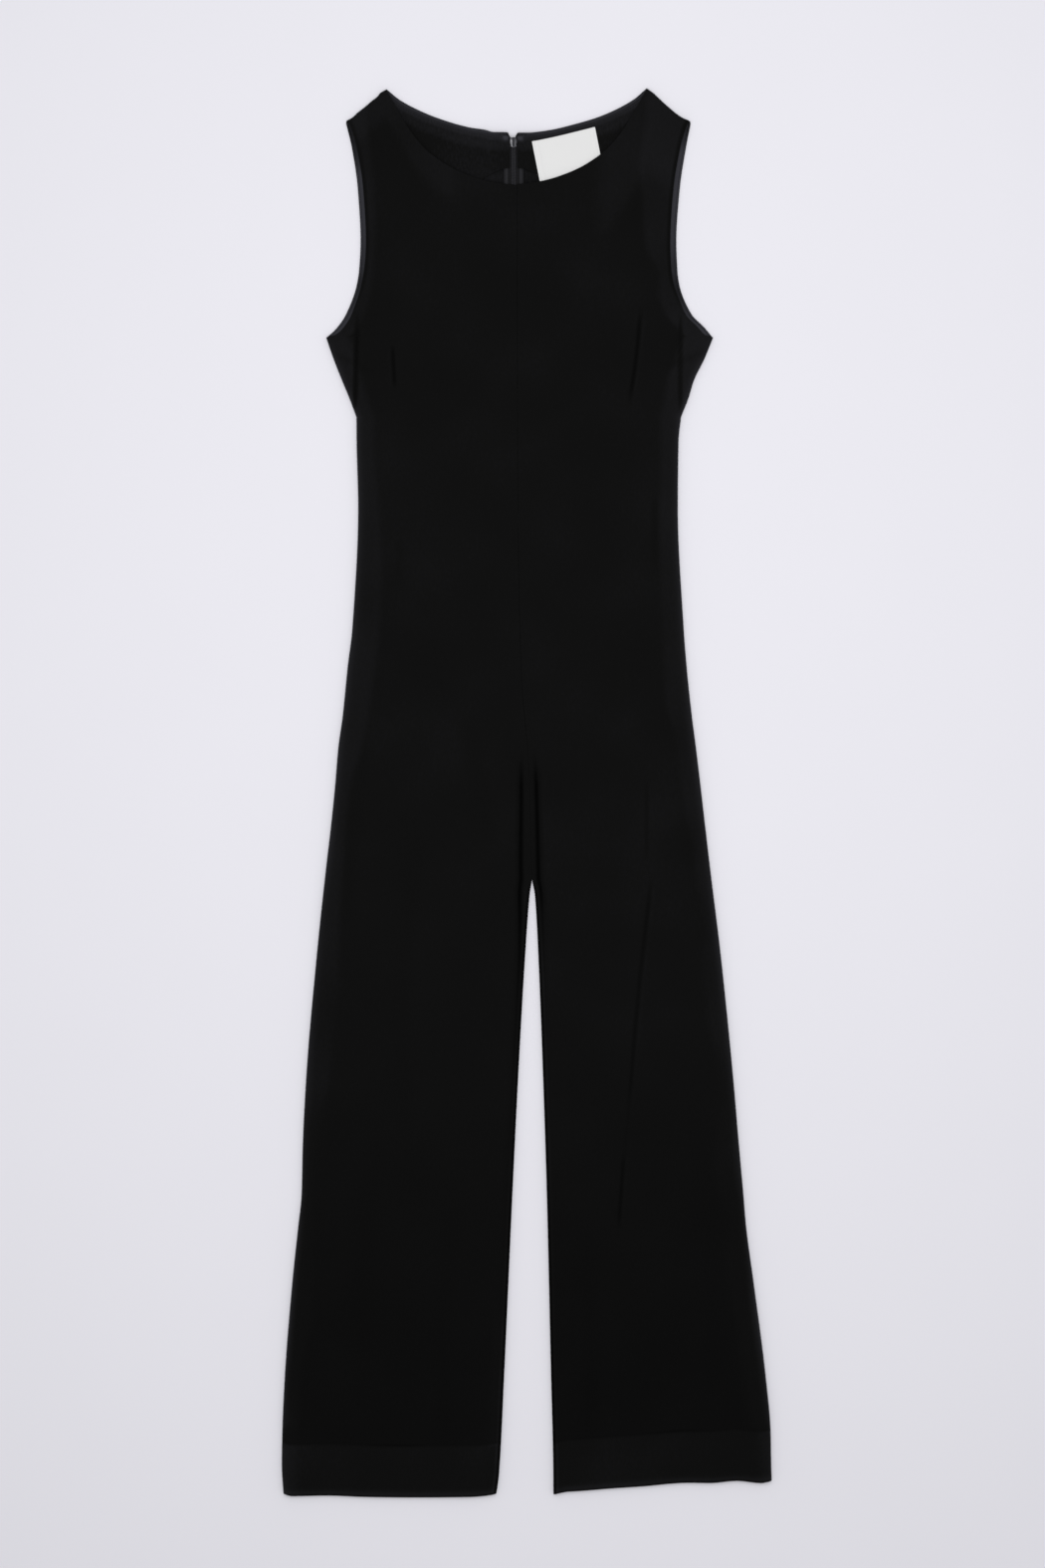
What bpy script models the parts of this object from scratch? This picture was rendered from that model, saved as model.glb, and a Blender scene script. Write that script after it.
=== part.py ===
"""A sleeveless jumpsuit with wide legs, laid flat on its back with the front up.

The tables are in millimetres. +X is the wearer's left, +Y runs from the hems to the shoulders, and
+Z is up. The origin is the middle of the footprint, on the surface that the garment lies on.

Each big panel is one cut piece from shoulder to hem. It is lofted through rows that run from its
inner edge (inseam, then centre seam) to its outer edge (side seam, then armhole), and Solidify
gives the lofted face its cloth thickness. The back panels lie on the surface. On them lie the zip
tapes, the back facings and the neck label, and the front panels lie over the lot: they roll down
at their edges and meet the back there.
"""

import math
from collections import namedtuple

import bmesh
import bpy
from mathutils import Matrix, Vector

MM = 0.001

# Cloth, in millimetres
CLOTH = 1.2
HEM_CLOTH = 2.2
LIGHT_CLOTH = 1.0
SEAM_GAP = 0.3
HEM_DEPTH = 50.0
HEM_STEP = 3.5
BACK_INSET = 0.4

# Sides of the wearer, as the sign of X
RIGHT, LEFT = -1, 1
SIDE_NAMES = {RIGHT: "right", LEFT: "left"}

# The silhouette's outer line, from shoulder to hem: x on the wearer's right and left at a height y
Edge = namedtuple("Edge", "name y right left")
ARMHOLE = (
    Edge("underarm", 457.7, -201.4, 188.4),
    Edge("tip of the underarm", 466.7, -191.9, 179.1),
    Edge("above the underarm", 481.7, -181.2, 164.6),
    Edge("lower armhole", 511.7, -170.6, 152.4),
    Edge("deepest armhole", 554.7, -166.8, 149.2),
    Edge("middle armhole", 606.7, -169.6, 152.6),
    Edge("upper armhole", 646.7, -175.3, 158.6),
    Edge("shoulder point", 674.7, -182.0, 164.1),
)
UNDERARM_SIDE = (
    Edge("foot of the underarm", 377.7, -170.8, 154.4),
    Edge("low on the pull", 396.7, -178.4, 161.2),
    Edge("pulled side", 414.7, -185.8, 167.2),
    Edge("underarm", 457.7, -201.4, 188.4),
)
SIDE_SEAM = (
    Edge("hem", -707.0, -244.6, 246.4),
    Edge("top of hem", -643.2, -246.0, 244.5),
    Edge("low flare", -583.2, -243.3, 239.2),
    Edge("flare", -493.2, -236.1, 227.6),
    Edge("calf", -403.2, -226.6, 217.2),
    Edge("knee", -283.2, -221.8, 206.6),
    Edge("thigh", -163.2, -211.4, 194.4),
    Edge("crotch level", -73.2, -201.8, 183.4),
    Edge("hip", 76.7, -185.4, 165.4),
    Edge("high hip", 166.7, -175.5, 157.0),
    Edge("waist", 286.7, -169.7, 151.2),
    Edge("below the foot", 352.7, -170.7, 151.8),
    Edge("foot of the underarm", 377.7, -170.8, 154.4),
)
INSEAM = (
    Edge("hem", -707.0, -31.4, 26.2),
    Edge("in the hem", -683.2, -28.2, 26.1),
    Edge("low flare", -583.2, -23.0, 23.8),
    Edge("calf", -403.2, -14.8, 19.6),
    Edge("knee", -253.2, -7.6, 15.0),
    Edge("thigh", -163.2, -2.4, 11.6),
    Edge("under the crotch", -103.2, 2.2, 8.0),
    Edge("crotch", -86.2, 4.8, 4.8),
)

# Where the centre seams run: x at a height y
CENTRE_FRONT = ((-86.2, 4.8), (30.0, 1.6), (120.0, -6.2), (300.0, -9.6), (707.0, -10.7))
CENTRE_BACK = ((-86.2, 4.8), (103.0, -2.0), (300.0, -9.0), (600.0, -13.6), (707.0, -13.7))

CROTCH_Y = -86.2
UNDERARM_Y = 457.7
WIDE_AGAIN_Y = 377.7
SHOULDER_Y = 674.7

# How far the front's armhole edge lies inside the silhouette, where the back's facing shows
Inset = namedtuple("Inset", "name y right left")
ARMHOLE_INSETS = (
    Inset("underarm", 457.7, 2.0, 0.6),
    Inset("just above it", 471.7, 6.6, 1.0),
    Inset("lower armhole", 491.7, 6.2, 1.6),
    Inset("lower curve", 514.7, 3.4, 3.6),
    Inset("deepest armhole", 550.7, 5.0, 5.6),
    Inset("middle armhole", 594.7, 6.3, 7.2),
    Inset("upper armhole", 627.7, 6.8, 6.2),
    Inset("near the shoulder", 654.7, 6.0, 6.6),
    Inset("shoulder point", 674.7, 1.6, 1.6),
)

# Neckline: both necklines hang between the neck points, as deep as these at the centre
NECK_MIDDLE = -10.6
NECK_POINT = {RIGHT: (-141.5, 706.4), LEFT: (120.3, 707.4)}
SHOULDER_POINT = {RIGHT: (-182.0, 674.7), LEFT: (164.1, 674.0)}
SHOULDER_BEND = {RIGHT: 0.4, LEFT: 3.2}
SHOULDER_BEND_AT = 0.75
FRONT_NECK_DEPTH = 96.5
BACK_NECK_DEPTH = 44.0

# How a neckline rises: its share of the depth, by the share of the way to the neck point
FRONT_NECK_RISE = ((0.0, 0.0), (0.17, 0.028), (0.43, 0.138), (0.66, 0.318), (0.8, 0.53), (1.0, 1.0))
NECK_RISES = {
    (RIGHT, FRONT_NECK_DEPTH): FRONT_NECK_RISE,
    (LEFT, FRONT_NECK_DEPTH): FRONT_NECK_RISE,
    (RIGHT, BACK_NECK_DEPTH): (
        (0.0, 0.005), (0.11, 0.02), (0.36, 0.135), (0.6, 0.34), (0.85, 0.66), (1.0, 1.0),
    ),
    (LEFT, BACK_NECK_DEPTH): (
        (0.0, 0.0), (0.16, 0.004), (0.41, 0.148), (0.65, 0.364), (0.9, 0.73), (1.0, 1.0),
    ),
}

# Hem lines: y by the share of the way from the inner to the outer edge of each leg
HEM_LINES = {
    RIGHT: (
        (0.0, -704.0), (0.05, -705.7), (0.12, -706.9), (0.36, -707.4), (0.61, -706.9), (0.8, -705.5),
        (0.96, -706.0), (1.0, -703.9),
    ),
    LEFT: (
        (0.0, -703.6), (0.11, -701.0), (0.26, -698.3), (0.4, -696.4), (0.62, -692.6), (0.72, -692.9),
        (0.84, -690.7), (0.95, -693.0), (1.0, -690.8),
    ),
}

# Rows of the loft: the rise over the hem line, then heights up to the underarm, then shares of the
# way up the bodice. The first three rows have the hem's thicker wall.
Row = namedtuple("Row", "inner_y outer_y up hem")
HEM_ROWS = (0.0, 3.0, HEM_DEPTH - HEM_STEP, HEM_DEPTH)
THICK_ROWS = 3
LEG_ROWS = (
    -610.0, -560.0, -500.0, -450.0, -400.0, -345.0, -285.0, -225.0, -165.0, -125.0, -100.0, CROTCH_Y,
)
TORSO_ROWS = (
    -62.0, -30.0, 5.0, 32.0, 62.0, 105.0, 160.0, 220.0, 287.0, 340.0, WIDE_AGAIN_Y, 400.0, 430.0,
    UNDERARM_Y,
)
BODICE_ROWS = (0.06, 0.12, 0.2, 0.3, 0.42, 0.54, 0.66, 0.77, 0.87, 0.945, 1.0)
FACING_ROWS = (0.0, 0.12, 0.25, 0.38, 0.52, 0.66, 0.8, 0.91, 1.0)
TOP_BLEND = 2.0

# Columns of the front's loft: shares of each rolled edge, and how many lie between its main lines
INNER_SHARES = (0.0, 0.5, 1.0)
OUTER_SHARES = (0.0, 0.3, 0.6, 0.8, 1.0)
INNER_COLUMNS = 5
OUTER_COLUMNS = 4

# How high the front's outer face lies at the panel's middle, at a height y
FRONT_LEVEL = (
    (-707.0, 5.8), (-650.0, 5.8), (-600.0, 5.0), (-400.0, 4.8), (-200.0, 5.0), (-90.0, 5.4),
    (40.0, 5.4), (287.0, 5.1), (460.0, 5.2), (600.0, 5.7), (707.0, 5.7),
)
SHOULDER_LEVEL = 4.1
SHOULDER_SLOPE = 26.0

# The front's outer edge: roll is its width, end is the angle where it stops below its widest
# point, land is the height that it comes down to, and puff is how far it stands over the middle
Roll = namedtuple("Roll", "name y roll end land puff")
OUTER_ROLLS = (
    Roll("hem", -707.0, 3.6, 0.0, 3.2, 0.7),
    Roll("top of hem", -652.0, 3.6, 0.0, 3.2, 0.7),
    Roll("flare", -620.0, 3.6, -50.0, 1.5, 1.0),
    Roll("leg", -86.0, 3.8, -60.0, 1.5, 1.0),
    Roll("waist", 287.0, 3.8, -60.0, 1.5, 1.0),
    Roll("foot of the underarm", 377.7, 3.4, -50.0, 1.5, 0.8),
    Roll("pulled side", 425.0, 2.2, -10.0, 1.5, -0.6),
    Roll("underarm", 450.0, 2.0, 0.0, 2.8, -0.6),
    Roll("armhole", 554.7, 2.0, 0.0, 2.8, -0.6),
    Roll("shoulder", 707.0, 1.6, 0.0, 2.8, 0.0),
)
INNER_ROLLS = (
    Roll("hem", -707.0, 3.2, 0.0, 3.5, 0.0),
    Roll("top of hem", -652.0, 3.2, 0.0, 3.5, 0.0),
    Roll("flare", -610.0, 2.6, -30.0, 1.6, 0.0),
    Roll("knee", -285.0, 2.2, -20.0, 1.6, 0.0),
    Roll("thigh", -165.0, 1.8, 0.0, 2.0, 0.0),
    Roll("crotch", -86.0, 1.6, 0.0, 2.0, 0.0),
)
PUFF_START, PUFF_WIDTH = 4.0, 22.0

# The centre-front seam is a groove: its cloth turns down this steeply, by this depth
SEAM_ROLL = 1.6
SEAM_END = 25.0
SEAM_DEPTH = 0.87
SPLIT_LENGTH = 14.0

# The crease beside the crotch and down the inner leg: how far it lies from the inner edge on each
# side, and how much lower the cloth lies between them
Crease = namedtuple("Crease", "name y right left drop")
CROTCH_CREASES = (
    Crease("hem", -707.0, 9.0, 9.0, 0.0),
    Crease("calf", -403.0, 6.0, 6.0, 0.0),
    Crease("knee", -225.0, 6.0, 5.2, 0.9),
    Crease("thigh", -130.0, 9.0, 5.6, 1.7),
    Crease("crotch", -86.0, 11.2, 6.6, 1.9),
    Crease("top of the crease", 5.0, 8.6, 6.6, 1.6),
    Crease("above it", 45.0, 7.6, 6.4, 0.0),
    Crease("bodice", 707.0, 7.6, 7.6, 0.0),
)
CREASE_HALF = 1.9

# A line that runs down each front from the neck point, over the bust and down the leg. The columns
# of the loft gather there, because the longest folds lie on it.
FOLD_LINES = {
    RIGHT: (
        (-707.0, -138.0), (-400.0, -124.0), (-86.0, -118.0), (160.0, -120.0), (287.0, -126.0),
        (408.0, -131.8), (452.0, -133.8), (560.0, -136.0), (707.0, -141.5),
    ),
    LEFT: (
        (-707.0, 82.0), (-428.0, 91.0), (-264.0, 107.0), (-184.0, 115.0), (-103.0, 122.0),
        (7.0, 122.6), (160.0, 112.0), (287.0, 106.0), (399.0, 106.4), (476.0, 113.4), (560.0, 116.0),
        (707.0, 120.3),
    ),
}
FOLD_SIDE = 6.0
FOLD_LEAN = 0.75

# Folds in the front: each runs between two points. A valley has a ridge along its outer side.
Fold = namedtuple("Fold", "name x0 y0 x1 y1 width depth")
FRONT_FOLDS = (
    Fold("right bust fold", -133.8, 456.0, -131.8, 404.0, 7.0, 1.1),
    Fold("left bust fold", 113.4, 478.0, 106.4, 397.0, 7.0, 1.2),
    Fold("right underarm crease", -171.6, 476.0, -171.4, 392.0, 8.0, 1.0),
    Fold("left underarm crease", 154.6, 478.0, 153.4, 400.0, 8.0, 1.0),
    Fold("left thigh crease", 122.6, 10.0, 119.0, -150.0, 9.0, 1.2),
    Fold("left knee crease", 119.0, -150.0, 90.6, -430.0, 9.0, 1.5),
)
FOLD_TAPER = 26.0
RIDGE_SHARE = 0.7
RIDGE_AT = 1.5

# Zip in the centre-back seam
ZIP_LENGTH = 560.0
ZIP_TAPE = 9.8
ZIP_BEAD = 1.8
ZIP_BEAD_HEIGHT = 1.8
ZIP_GAPS = ((648.0, SEAM_GAP / 2), (658.6, 0.95), (663.4, 4.6))
ZIP_FACING_CLEAR = 4.4
TAPE_CLEAR = 0.05
TAPE_ROWS = (200.0, 300.0, 400.0, 500.0, 560.0, 585.0, 600.0, 615.0, 630.0, 641.0, 648.0, 653.0, 658.6)
PIN_Y = 657.2
PIN_Z = 1.35
PIN_RADIUS = 0.4
EYE_BORE = 0.65
EYE_RADIUS = 1.15
POST_HALF = 0.55
CHEEK_INNER = POST_HALF + SEAM_GAP
CHEEK_OUTER = 1.7
CHEEK_RADIUS = 1.0
CHEEK_OVERLAP = 1.6
CHEEK_ARM = 0.9
CHEEK_ARM_LOW = 0.1
PIN_SHORT = 0.2
ROD_SIDES = 20
WELD = 1e-6
PULL_LENGTH = 24.0
PULL_THICKNESS = 1.0
PULL_NECK_HALF = 1.7
PULL_TIP_HALF = 2.8
PULL_TIP_STEPS = 8
SLIDER_LENGTH = 10.0
SLIDER_ABOVE_PIN = 1.4
SLIDER_POST = 2.0
SLIDER_HALF = 3.7
SLIDER_PLATE = 1.1
SLIDER_FLANGE = 0.7

# The pull lies under the back, so the cloth over it stands off the surface by this much
LIFT = 2.75
LIFT_FLAT_X, LIFT_END_X = 6.0, 48.0
LIFT_FLAT_Y, LIFT_END_Y = 646.0, 585.0

# Columns near the zip, by their distance from the centre back
NEAR_ZIP = (0.0, 15.2, 22.0, 30.0, 38.0, 48.0)

# Back facing
FACING_DEPTH = 35.0
FACING_INSET = 0.8
FACING_ARCH = 120.0
UNDERARM_INSET = 1.4
FACING_OVER_TAPE = 15.2
FACING_DOWN = 22.0

# Neck label: a plain rectangle, sewn beside the zip along the back neckline
LABEL_CORNER = (5.3, 654.6)
LABEL_WIDTH = 64.4
LABEL_LENGTH = 48.0
LABEL_TURN = 12.6
LABEL_COLUMNS, LABEL_ROWS = 7, 6


def mix(a, b, share):
    return a + (b - a) * share


def ease(value, start, end):
    """0 at start, 1 at end, and smooth between them."""
    share = min(1.0, max(0.0, (value - start) / (end - start)))
    return share * share * (3.0 - 2.0 * share)


def through(knots, at):
    """The smooth curve through (position, value) knots, with no overshoot between them."""
    knots = sorted(knots)
    if at <= knots[0][0]:
        return knots[0][1]
    if at >= knots[-1][0]:
        return knots[-1][1]
    slopes = [(b[1] - a[1]) / (b[0] - a[0]) for a, b in zip(knots, knots[1:])]
    tangents = [slopes[0]]
    for before, after in zip(slopes, slopes[1:]):
        level = before * after <= 0
        tangents.append(0.0 if level else 2.0 * before * after / (before + after))
    tangents.append(slopes[-1])
    i = next(n for n in range(len(slopes)) if at <= knots[n + 1][0])
    span = knots[i + 1][0] - knots[i][0]
    t = (at - knots[i][0]) / span
    return (
        knots[i][1] * (1 + 2 * t) * (1 - t) ** 2
        + tangents[i] * span * t * (1 - t) ** 2
        + knots[i + 1][1] * t * t * (3 - 2 * t)
        + tangents[i + 1] * span * t * t * (t - 1)
    )


def row_value(table, column, y):
    return through([(row.y, getattr(row, column)) for row in table], y)


def edge_value(table, side, y):
    return row_value(table, SIDE_NAMES[side], y)


def outer_x(side, y):
    """The silhouette's outer line: side seam, pulled underarm and armhole."""
    if y > UNDERARM_Y:
        return edge_value(ARMHOLE, side, y)
    if y > WIDE_AGAIN_Y:
        return edge_value(UNDERARM_SIDE, side, y)
    return edge_value(SIDE_SEAM, side, y)


def zip_half_gap(y):
    """Half the gap between the two back edges: a seam, opening in a V above the slider."""
    return through(ZIP_GAPS, y)


def inner_x(side, y, back):
    """The panel's inner line: inseam up to the crotch, then its centre seam."""
    if y <= CROTCH_Y:
        return edge_value(INSEAM, side, y) + side * SEAM_GAP / 2
    if back:
        return through(CENTRE_BACK, y) + side * zip_half_gap(y)
    return through(CENTRE_FRONT, y) + side * SEAM_GAP / 2


def neckline_y(side, x, depth):
    """Height of a neckline at x, between its middle and the neck point."""
    reach = min(1.0, abs(x - NECK_MIDDLE) / abs(NECK_POINT[side][0] - NECK_MIDDLE))
    return NECK_POINT[side][1] - depth * (1.0 - through(NECK_RISES[side, depth], reach))


def top_y(side, x, depth):
    """Height of a panel's top edge at x: its neckline, then its shoulder seam."""
    neck, point = NECK_POINT[side], SHOULDER_POINT[side]
    along = (x - neck[0]) / (point[0] - neck[0])
    if along <= 0:
        return neckline_y(side, x, depth)
    bend = SHOULDER_BEND[side] * min(along / SHOULDER_BEND_AT, (1 - along) / (1 - SHOULDER_BEND_AT))
    return mix(neck[1], point[1], along) - max(0.0, bend)


def lift(x, y):
    """How far everything stands off the surface, over the zip's pull."""
    across = abs(x - through(CENTRE_BACK, y))
    return LIFT * (1 - ease(across, LIFT_FLAT_X, LIFT_END_X)) * ease(y, LIFT_END_Y, LIFT_FLAT_Y)


def fold_relief(x, y):
    """What the front's folds add to its height: a valley, and a ridge on its outer side."""
    total = 0.0
    for fold in FRONT_FOLDS:
        run = Vector((fold.x1 - fold.x0, fold.y1 - fold.y0))
        length = run.length
        run.normalize()
        out = Vector((-run.y, run.x))
        if out.x * fold.x0 < 0:
            out.negate()
        point = Vector((x - fold.x0, y - fold.y0))
        along = point.dot(run)
        across = point.dot(out) / fold.width
        fade = ease(along, -FOLD_TAPER, 0.0) * (1 - ease(along, length, length + FOLD_TAPER))
        valley = math.exp(-(across**2) * 2)
        ridge = RIDGE_SHARE * math.exp(-((across - RIDGE_AT) ** 2))
        total += fold.depth * fade * (ridge - valley)
    return total


def front_height(side, x, y):
    """Height of the front's outer face, away from its rolled edges."""
    level = through(FRONT_LEVEL, y)
    shoulder = top_y(side, x, FRONT_NECK_DEPTH) - y
    outside = side * (x - NECK_POINT[side][0]) > -SHOULDER_SLOPE
    if outside:
        slope = ease(shoulder, 0.0, SHOULDER_SLOPE)
        near_neck = ease(side * (NECK_POINT[side][0] - x), 0.0, SHOULDER_SLOPE)
        level = mix(mix(SHOULDER_LEVEL, level, slope), level, near_neck)
    from_edge = side * (outer_x(side, y) - x)
    puff = row_value(OUTER_ROLLS, "puff", y) * (1 - ease(from_edge, PUFF_START, PUFF_WIDTH))
    return level + puff + fold_relief(x, y)


def panel_rows(side, depth):
    """Each row of a panel: y at its inner and outer edge, and its shares of the top and the hem."""
    (_, inner_hem), *_, (_, outer_hem) = HEM_LINES[side]
    rows = [Row(inner_hem + rise, outer_hem + rise, 0.0, 1.0) for rise in HEM_ROWS]
    rows += [Row(y, y, 0.0, 0.0) for y in LEG_ROWS + TORSO_ROWS]
    neck = neckline_y(side, NECK_MIDDLE, depth)
    rows += [
        Row(mix(UNDERARM_Y, neck, up), mix(UNDERARM_Y, SHOULDER_Y, up), up, 0.0)
        for up in BODICE_ROWS
    ]
    return rows


def place(side, row, share, inner, outer, depth):
    """The point of a row that lies this share of the way from its inner to its outer edge."""
    x = mix(inner, outer, share)
    y = mix(row.inner_y, row.outer_y, share)
    if row.hem > 0:
        line = HEM_LINES[side]
        y += row.hem * (through(line, share) - mix(line[0][1], line[-1][1], share))
    if row.up > 0:
        first = inner_x(side, neckline_y(side, NECK_MIDDLE, depth), depth == BACK_NECK_DEPTH)
        top_x = mix(first, SHOULDER_POINT[side][0], share)
        chord = mix(top_y(side, first, depth), SHOULDER_POINT[side][1], share)
        y += row.up**TOP_BLEND * (top_y(side, top_x, depth) - chord)
    return x, y


def rolled(shares, start, stop, roll, top, low):
    """Pairs of (reach, height) down a rolled edge, from angle start to stop: reach is 0 where it
    begins on top, and roll at its widest. The height falls from top to low."""
    fall = (top - low) / (1 - math.sin(stop))
    widest = math.cos(max(0.0, stop))
    pairs = []
    for share in shares:
        angle = mix(start, stop, share)
        pairs.append((roll * math.cos(angle) / widest, top - fall * (1 - math.sin(angle))))
    return pairs


def front_section(side, row):
    """The points across one row of a front panel, from inner edge to outer edge."""
    inner = inner_x(side, row.inner_y, back=False)
    outer = outer_x(side, row.outer_y)
    if row.up > 0:
        outer -= side * edge_value(ARMHOLE_INSETS, side, row.outer_y)
    width = abs(outer - inner)
    fold = abs(through(FOLD_LINES[side], mix(row.inner_y, row.outer_y, FOLD_LEAN)) - inner)
    if row.up == 1.0:
        fold = abs(NECK_POINT[side][0] - inner)

    crease = edge_value(CROTCH_CREASES, side, row.inner_y)
    drop = row_value(CROTCH_CREASES, "drop", row.inner_y)
    split = ease(CROTCH_Y - row.inner_y, 0.0, SPLIT_LENGTH)
    inner_roll = mix(SEAM_ROLL, row_value(INNER_ROLLS, "roll", row.inner_y), split)
    outer_roll = row_value(OUTER_ROLLS, "roll", row.outer_y)

    def at(reach):
        return place(side, row, reach / width, inner, outer, FRONT_NECK_DEPTH)

    def height(reach):
        x, y = at(reach)
        low = drop if reach < crease else 0.0
        return front_height(side, x, y) + lift(x, y) - low

    # The seam or the inseam's roll, from its lowest line up
    top = height(inner_roll)
    end = math.radians(mix(SEAM_END, row_value(INNER_ROLLS, "end", row.inner_y), split))
    low = mix(top - SEAM_DEPTH, row_value(INNER_ROLLS, "land", row.inner_y), split)
    edge = rolled(INNER_SHARES, math.pi / 2, end, inner_roll, top, low)
    points = [(inner_roll - reach, z) for reach, z in reversed(edge)]

    # The flat cloth, with its lines at the crotch's crease and at the long fold
    last = width - outer_roll
    creased = crease + CREASE_HALF
    flats = [crease - CREASE_HALF, creased]
    flats += [mix(creased, fold - FOLD_SIDE, n / INNER_COLUMNS) for n in range(1, INNER_COLUMNS)]
    flats += [fold - FOLD_SIDE, fold, fold + FOLD_SIDE]
    flats += [mix(fold + FOLD_SIDE, last, n / OUTER_COLUMNS) for n in range(1, OUTER_COLUMNS)]
    points += [(reach, height(reach)) for reach in flats]

    # The side seam's roll, or the armhole's edge
    end = math.radians(row_value(OUTER_ROLLS, "end", row.outer_y))
    low = row_value(OUTER_ROLLS, "land", row.outer_y) + lift(*at(last))
    edge = rolled(OUTER_SHARES, math.pi / 2, end, outer_roll, height(last), low)
    points += [(last + reach, z) for reach, z in edge]
    return [Vector((*at(reach), z)) for reach, z in points]


def back_section(side, row):
    """The points across one row of a back panel, on the surface or just over the zip's pull."""
    inner = inner_x(side, row.inner_y, back=True)
    outer = outer_x(side, row.outer_y) - side * BACK_INSET
    width = abs(outer - inner)
    neck = abs(NECK_POINT[side][0] - inner)
    reaches = [*NEAR_ZIP, mix(NEAR_ZIP[-1], neck, 0.5), neck, mix(neck, width, 0.5), width]
    points = []
    for reach in reaches:
        x, y = place(side, row, reach / width, inner, outer, BACK_NECK_DEPTH)
        points.append(Vector((x, y, lift(x, y))))
    return points


def made_object(name, build):
    """The bmesh as a new object. It frees the bmesh."""
    mesh = bpy.data.meshes.new(name)
    build.to_mesh(mesh)
    build.free()
    return bpy.data.objects.new(name, mesh)


def loft(name, sections, outside_up):
    """One object whose open face runs through the sections, facing up or down."""
    build = bmesh.new()
    grid = [[build.verts.new(point * MM) for point in section] for section in sections]
    for low, high in zip(grid, grid[1:]):
        for n in range(len(low) - 1):
            build.faces.new((low[n], low[n + 1], high[n + 1], high[n]))
    build.normal_update()
    up = sum(face.normal.z * face.calc_area() for face in build.faces) > 0
    if up != outside_up:
        bmesh.ops.reverse_faces(build, faces=build.faces)
    return made_object(name, build)


def thicken(thing, thickness, thick_rows=None, thicker=None):
    """Solidify inwards. The vertices in thick_rows get the thicker wall."""
    wall = thing.modifiers.new("cloth", "SOLIDIFY")
    wall.thickness = (thicker or thickness) * MM
    wall.offset = -1.0
    wall.use_even_offset = False
    if thick_rows:
        group = thing.vertex_groups.new(name="turned_up")
        group.add(thick_rows, 1.0, "REPLACE")
        wall.vertex_group = group.name
        wall.thickness_vertex_group = thickness / thicker
    return thing


def material(name, colour, roughness, metallic=0.0):
    made = bpy.data.materials.new(name)
    made.use_nodes = True
    shader = made.node_tree.nodes["Principled BSDF"]
    shader.inputs["Base Color"].default_value = (*colour, 1.0)
    shader.inputs["Roughness"].default_value = roughness
    shader.inputs["Metallic"].default_value = metallic
    return made


def finish(thing, collection, finish_material, smooth=True):
    thing.data.materials.append(finish_material)
    if smooth:
        thing.data.shade_smooth()
    collection.objects.link(thing)
    return thing


def panel(side, name, section, depth, outside_up):
    """A front or back panel, with its hem turned up inside."""
    sections = [section(side, row) for row in panel_rows(side, depth)]
    thing = loft(f"{name}_{SIDE_NAMES[side]}", sections, outside_up)
    turned_up = list(range(THICK_ROWS * len(sections[0])))
    return thicken(thing, CLOTH, turned_up, HEM_CLOTH)


def front_panel(side):
    return panel(side, "front", front_section, FRONT_NECK_DEPTH, outside_up=True)


def back_panel(side):
    return panel(side, "back", back_section, BACK_NECK_DEPTH, outside_up=False)


def facing_bottom(x, y):
    """Height of the facing's underside: on the back panel, and over the tape near the zip."""
    across = abs(x - through(CENTRE_BACK, y)) - zip_half_gap(y)
    over_tape = CLOTH + SEAM_GAP + LIGHT_CLOTH + SEAM_GAP
    on_back = CLOTH + SEAM_GAP
    share = min(1.0, max(0.0, (across - FACING_OVER_TAPE) / (FACING_DOWN - FACING_OVER_TAPE)))
    return mix(over_tape, on_back, share) + lift(x, y)


def facing_section(side, up):
    """The points across the back facing, this share of the way from its lower edge to its top."""
    neck = neckline_y(side, NECK_MIDDLE, BACK_NECK_DEPTH) - FACING_INSET
    row = Row(
        mix(neck - FACING_DEPTH, neck, up), mix(UNDERARM_Y, SHOULDER_Y - FACING_INSET, up), up, 0.0
    )
    centre = through(CENTRE_BACK, row.inner_y)
    inner = centre + side * (ZIP_FACING_CLEAR + zip_half_gap(row.inner_y))
    inset = BACK_INSET + FACING_INSET + UNDERARM_INSET * (1 - up) ** 6
    outer = outer_x(side, row.outer_y) - side * inset
    width = abs(outer - inner)
    neck_reach = abs(NECK_POINT[side][0] - inner)
    reaches = [0.0] + [across - ZIP_FACING_CLEAR for across in NEAR_ZIP[1:]]
    reaches += [mix(reaches[-1], neck_reach, n / 3) for n in (1, 2, 3)]
    reaches += [mix(neck_reach, width, 0.5), width]
    points = []
    for reach in reaches:
        share = reach / width
        x, y = place(side, row, share, inner, outer, BACK_NECK_DEPTH)
        y -= FACING_ARCH * (1 - up) ** 2 * (ease(share, 0.0, 1.0) - share)
        if up == 1.0:
            y = top_y(side, x, BACK_NECK_DEPTH) - FACING_INSET
        points.append(Vector((x, y, facing_bottom(x, y))))
    return points


def back_facing(side):
    """The all-in-one facing of neckline and armhole, on the inside of one back panel."""
    sections = [facing_section(side, up) for up in FACING_ROWS]
    thing = loft(f"facing_{SIDE_NAMES[side]}", sections, outside_up=False)
    return thicken(thing, LIGHT_CLOTH)


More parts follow.
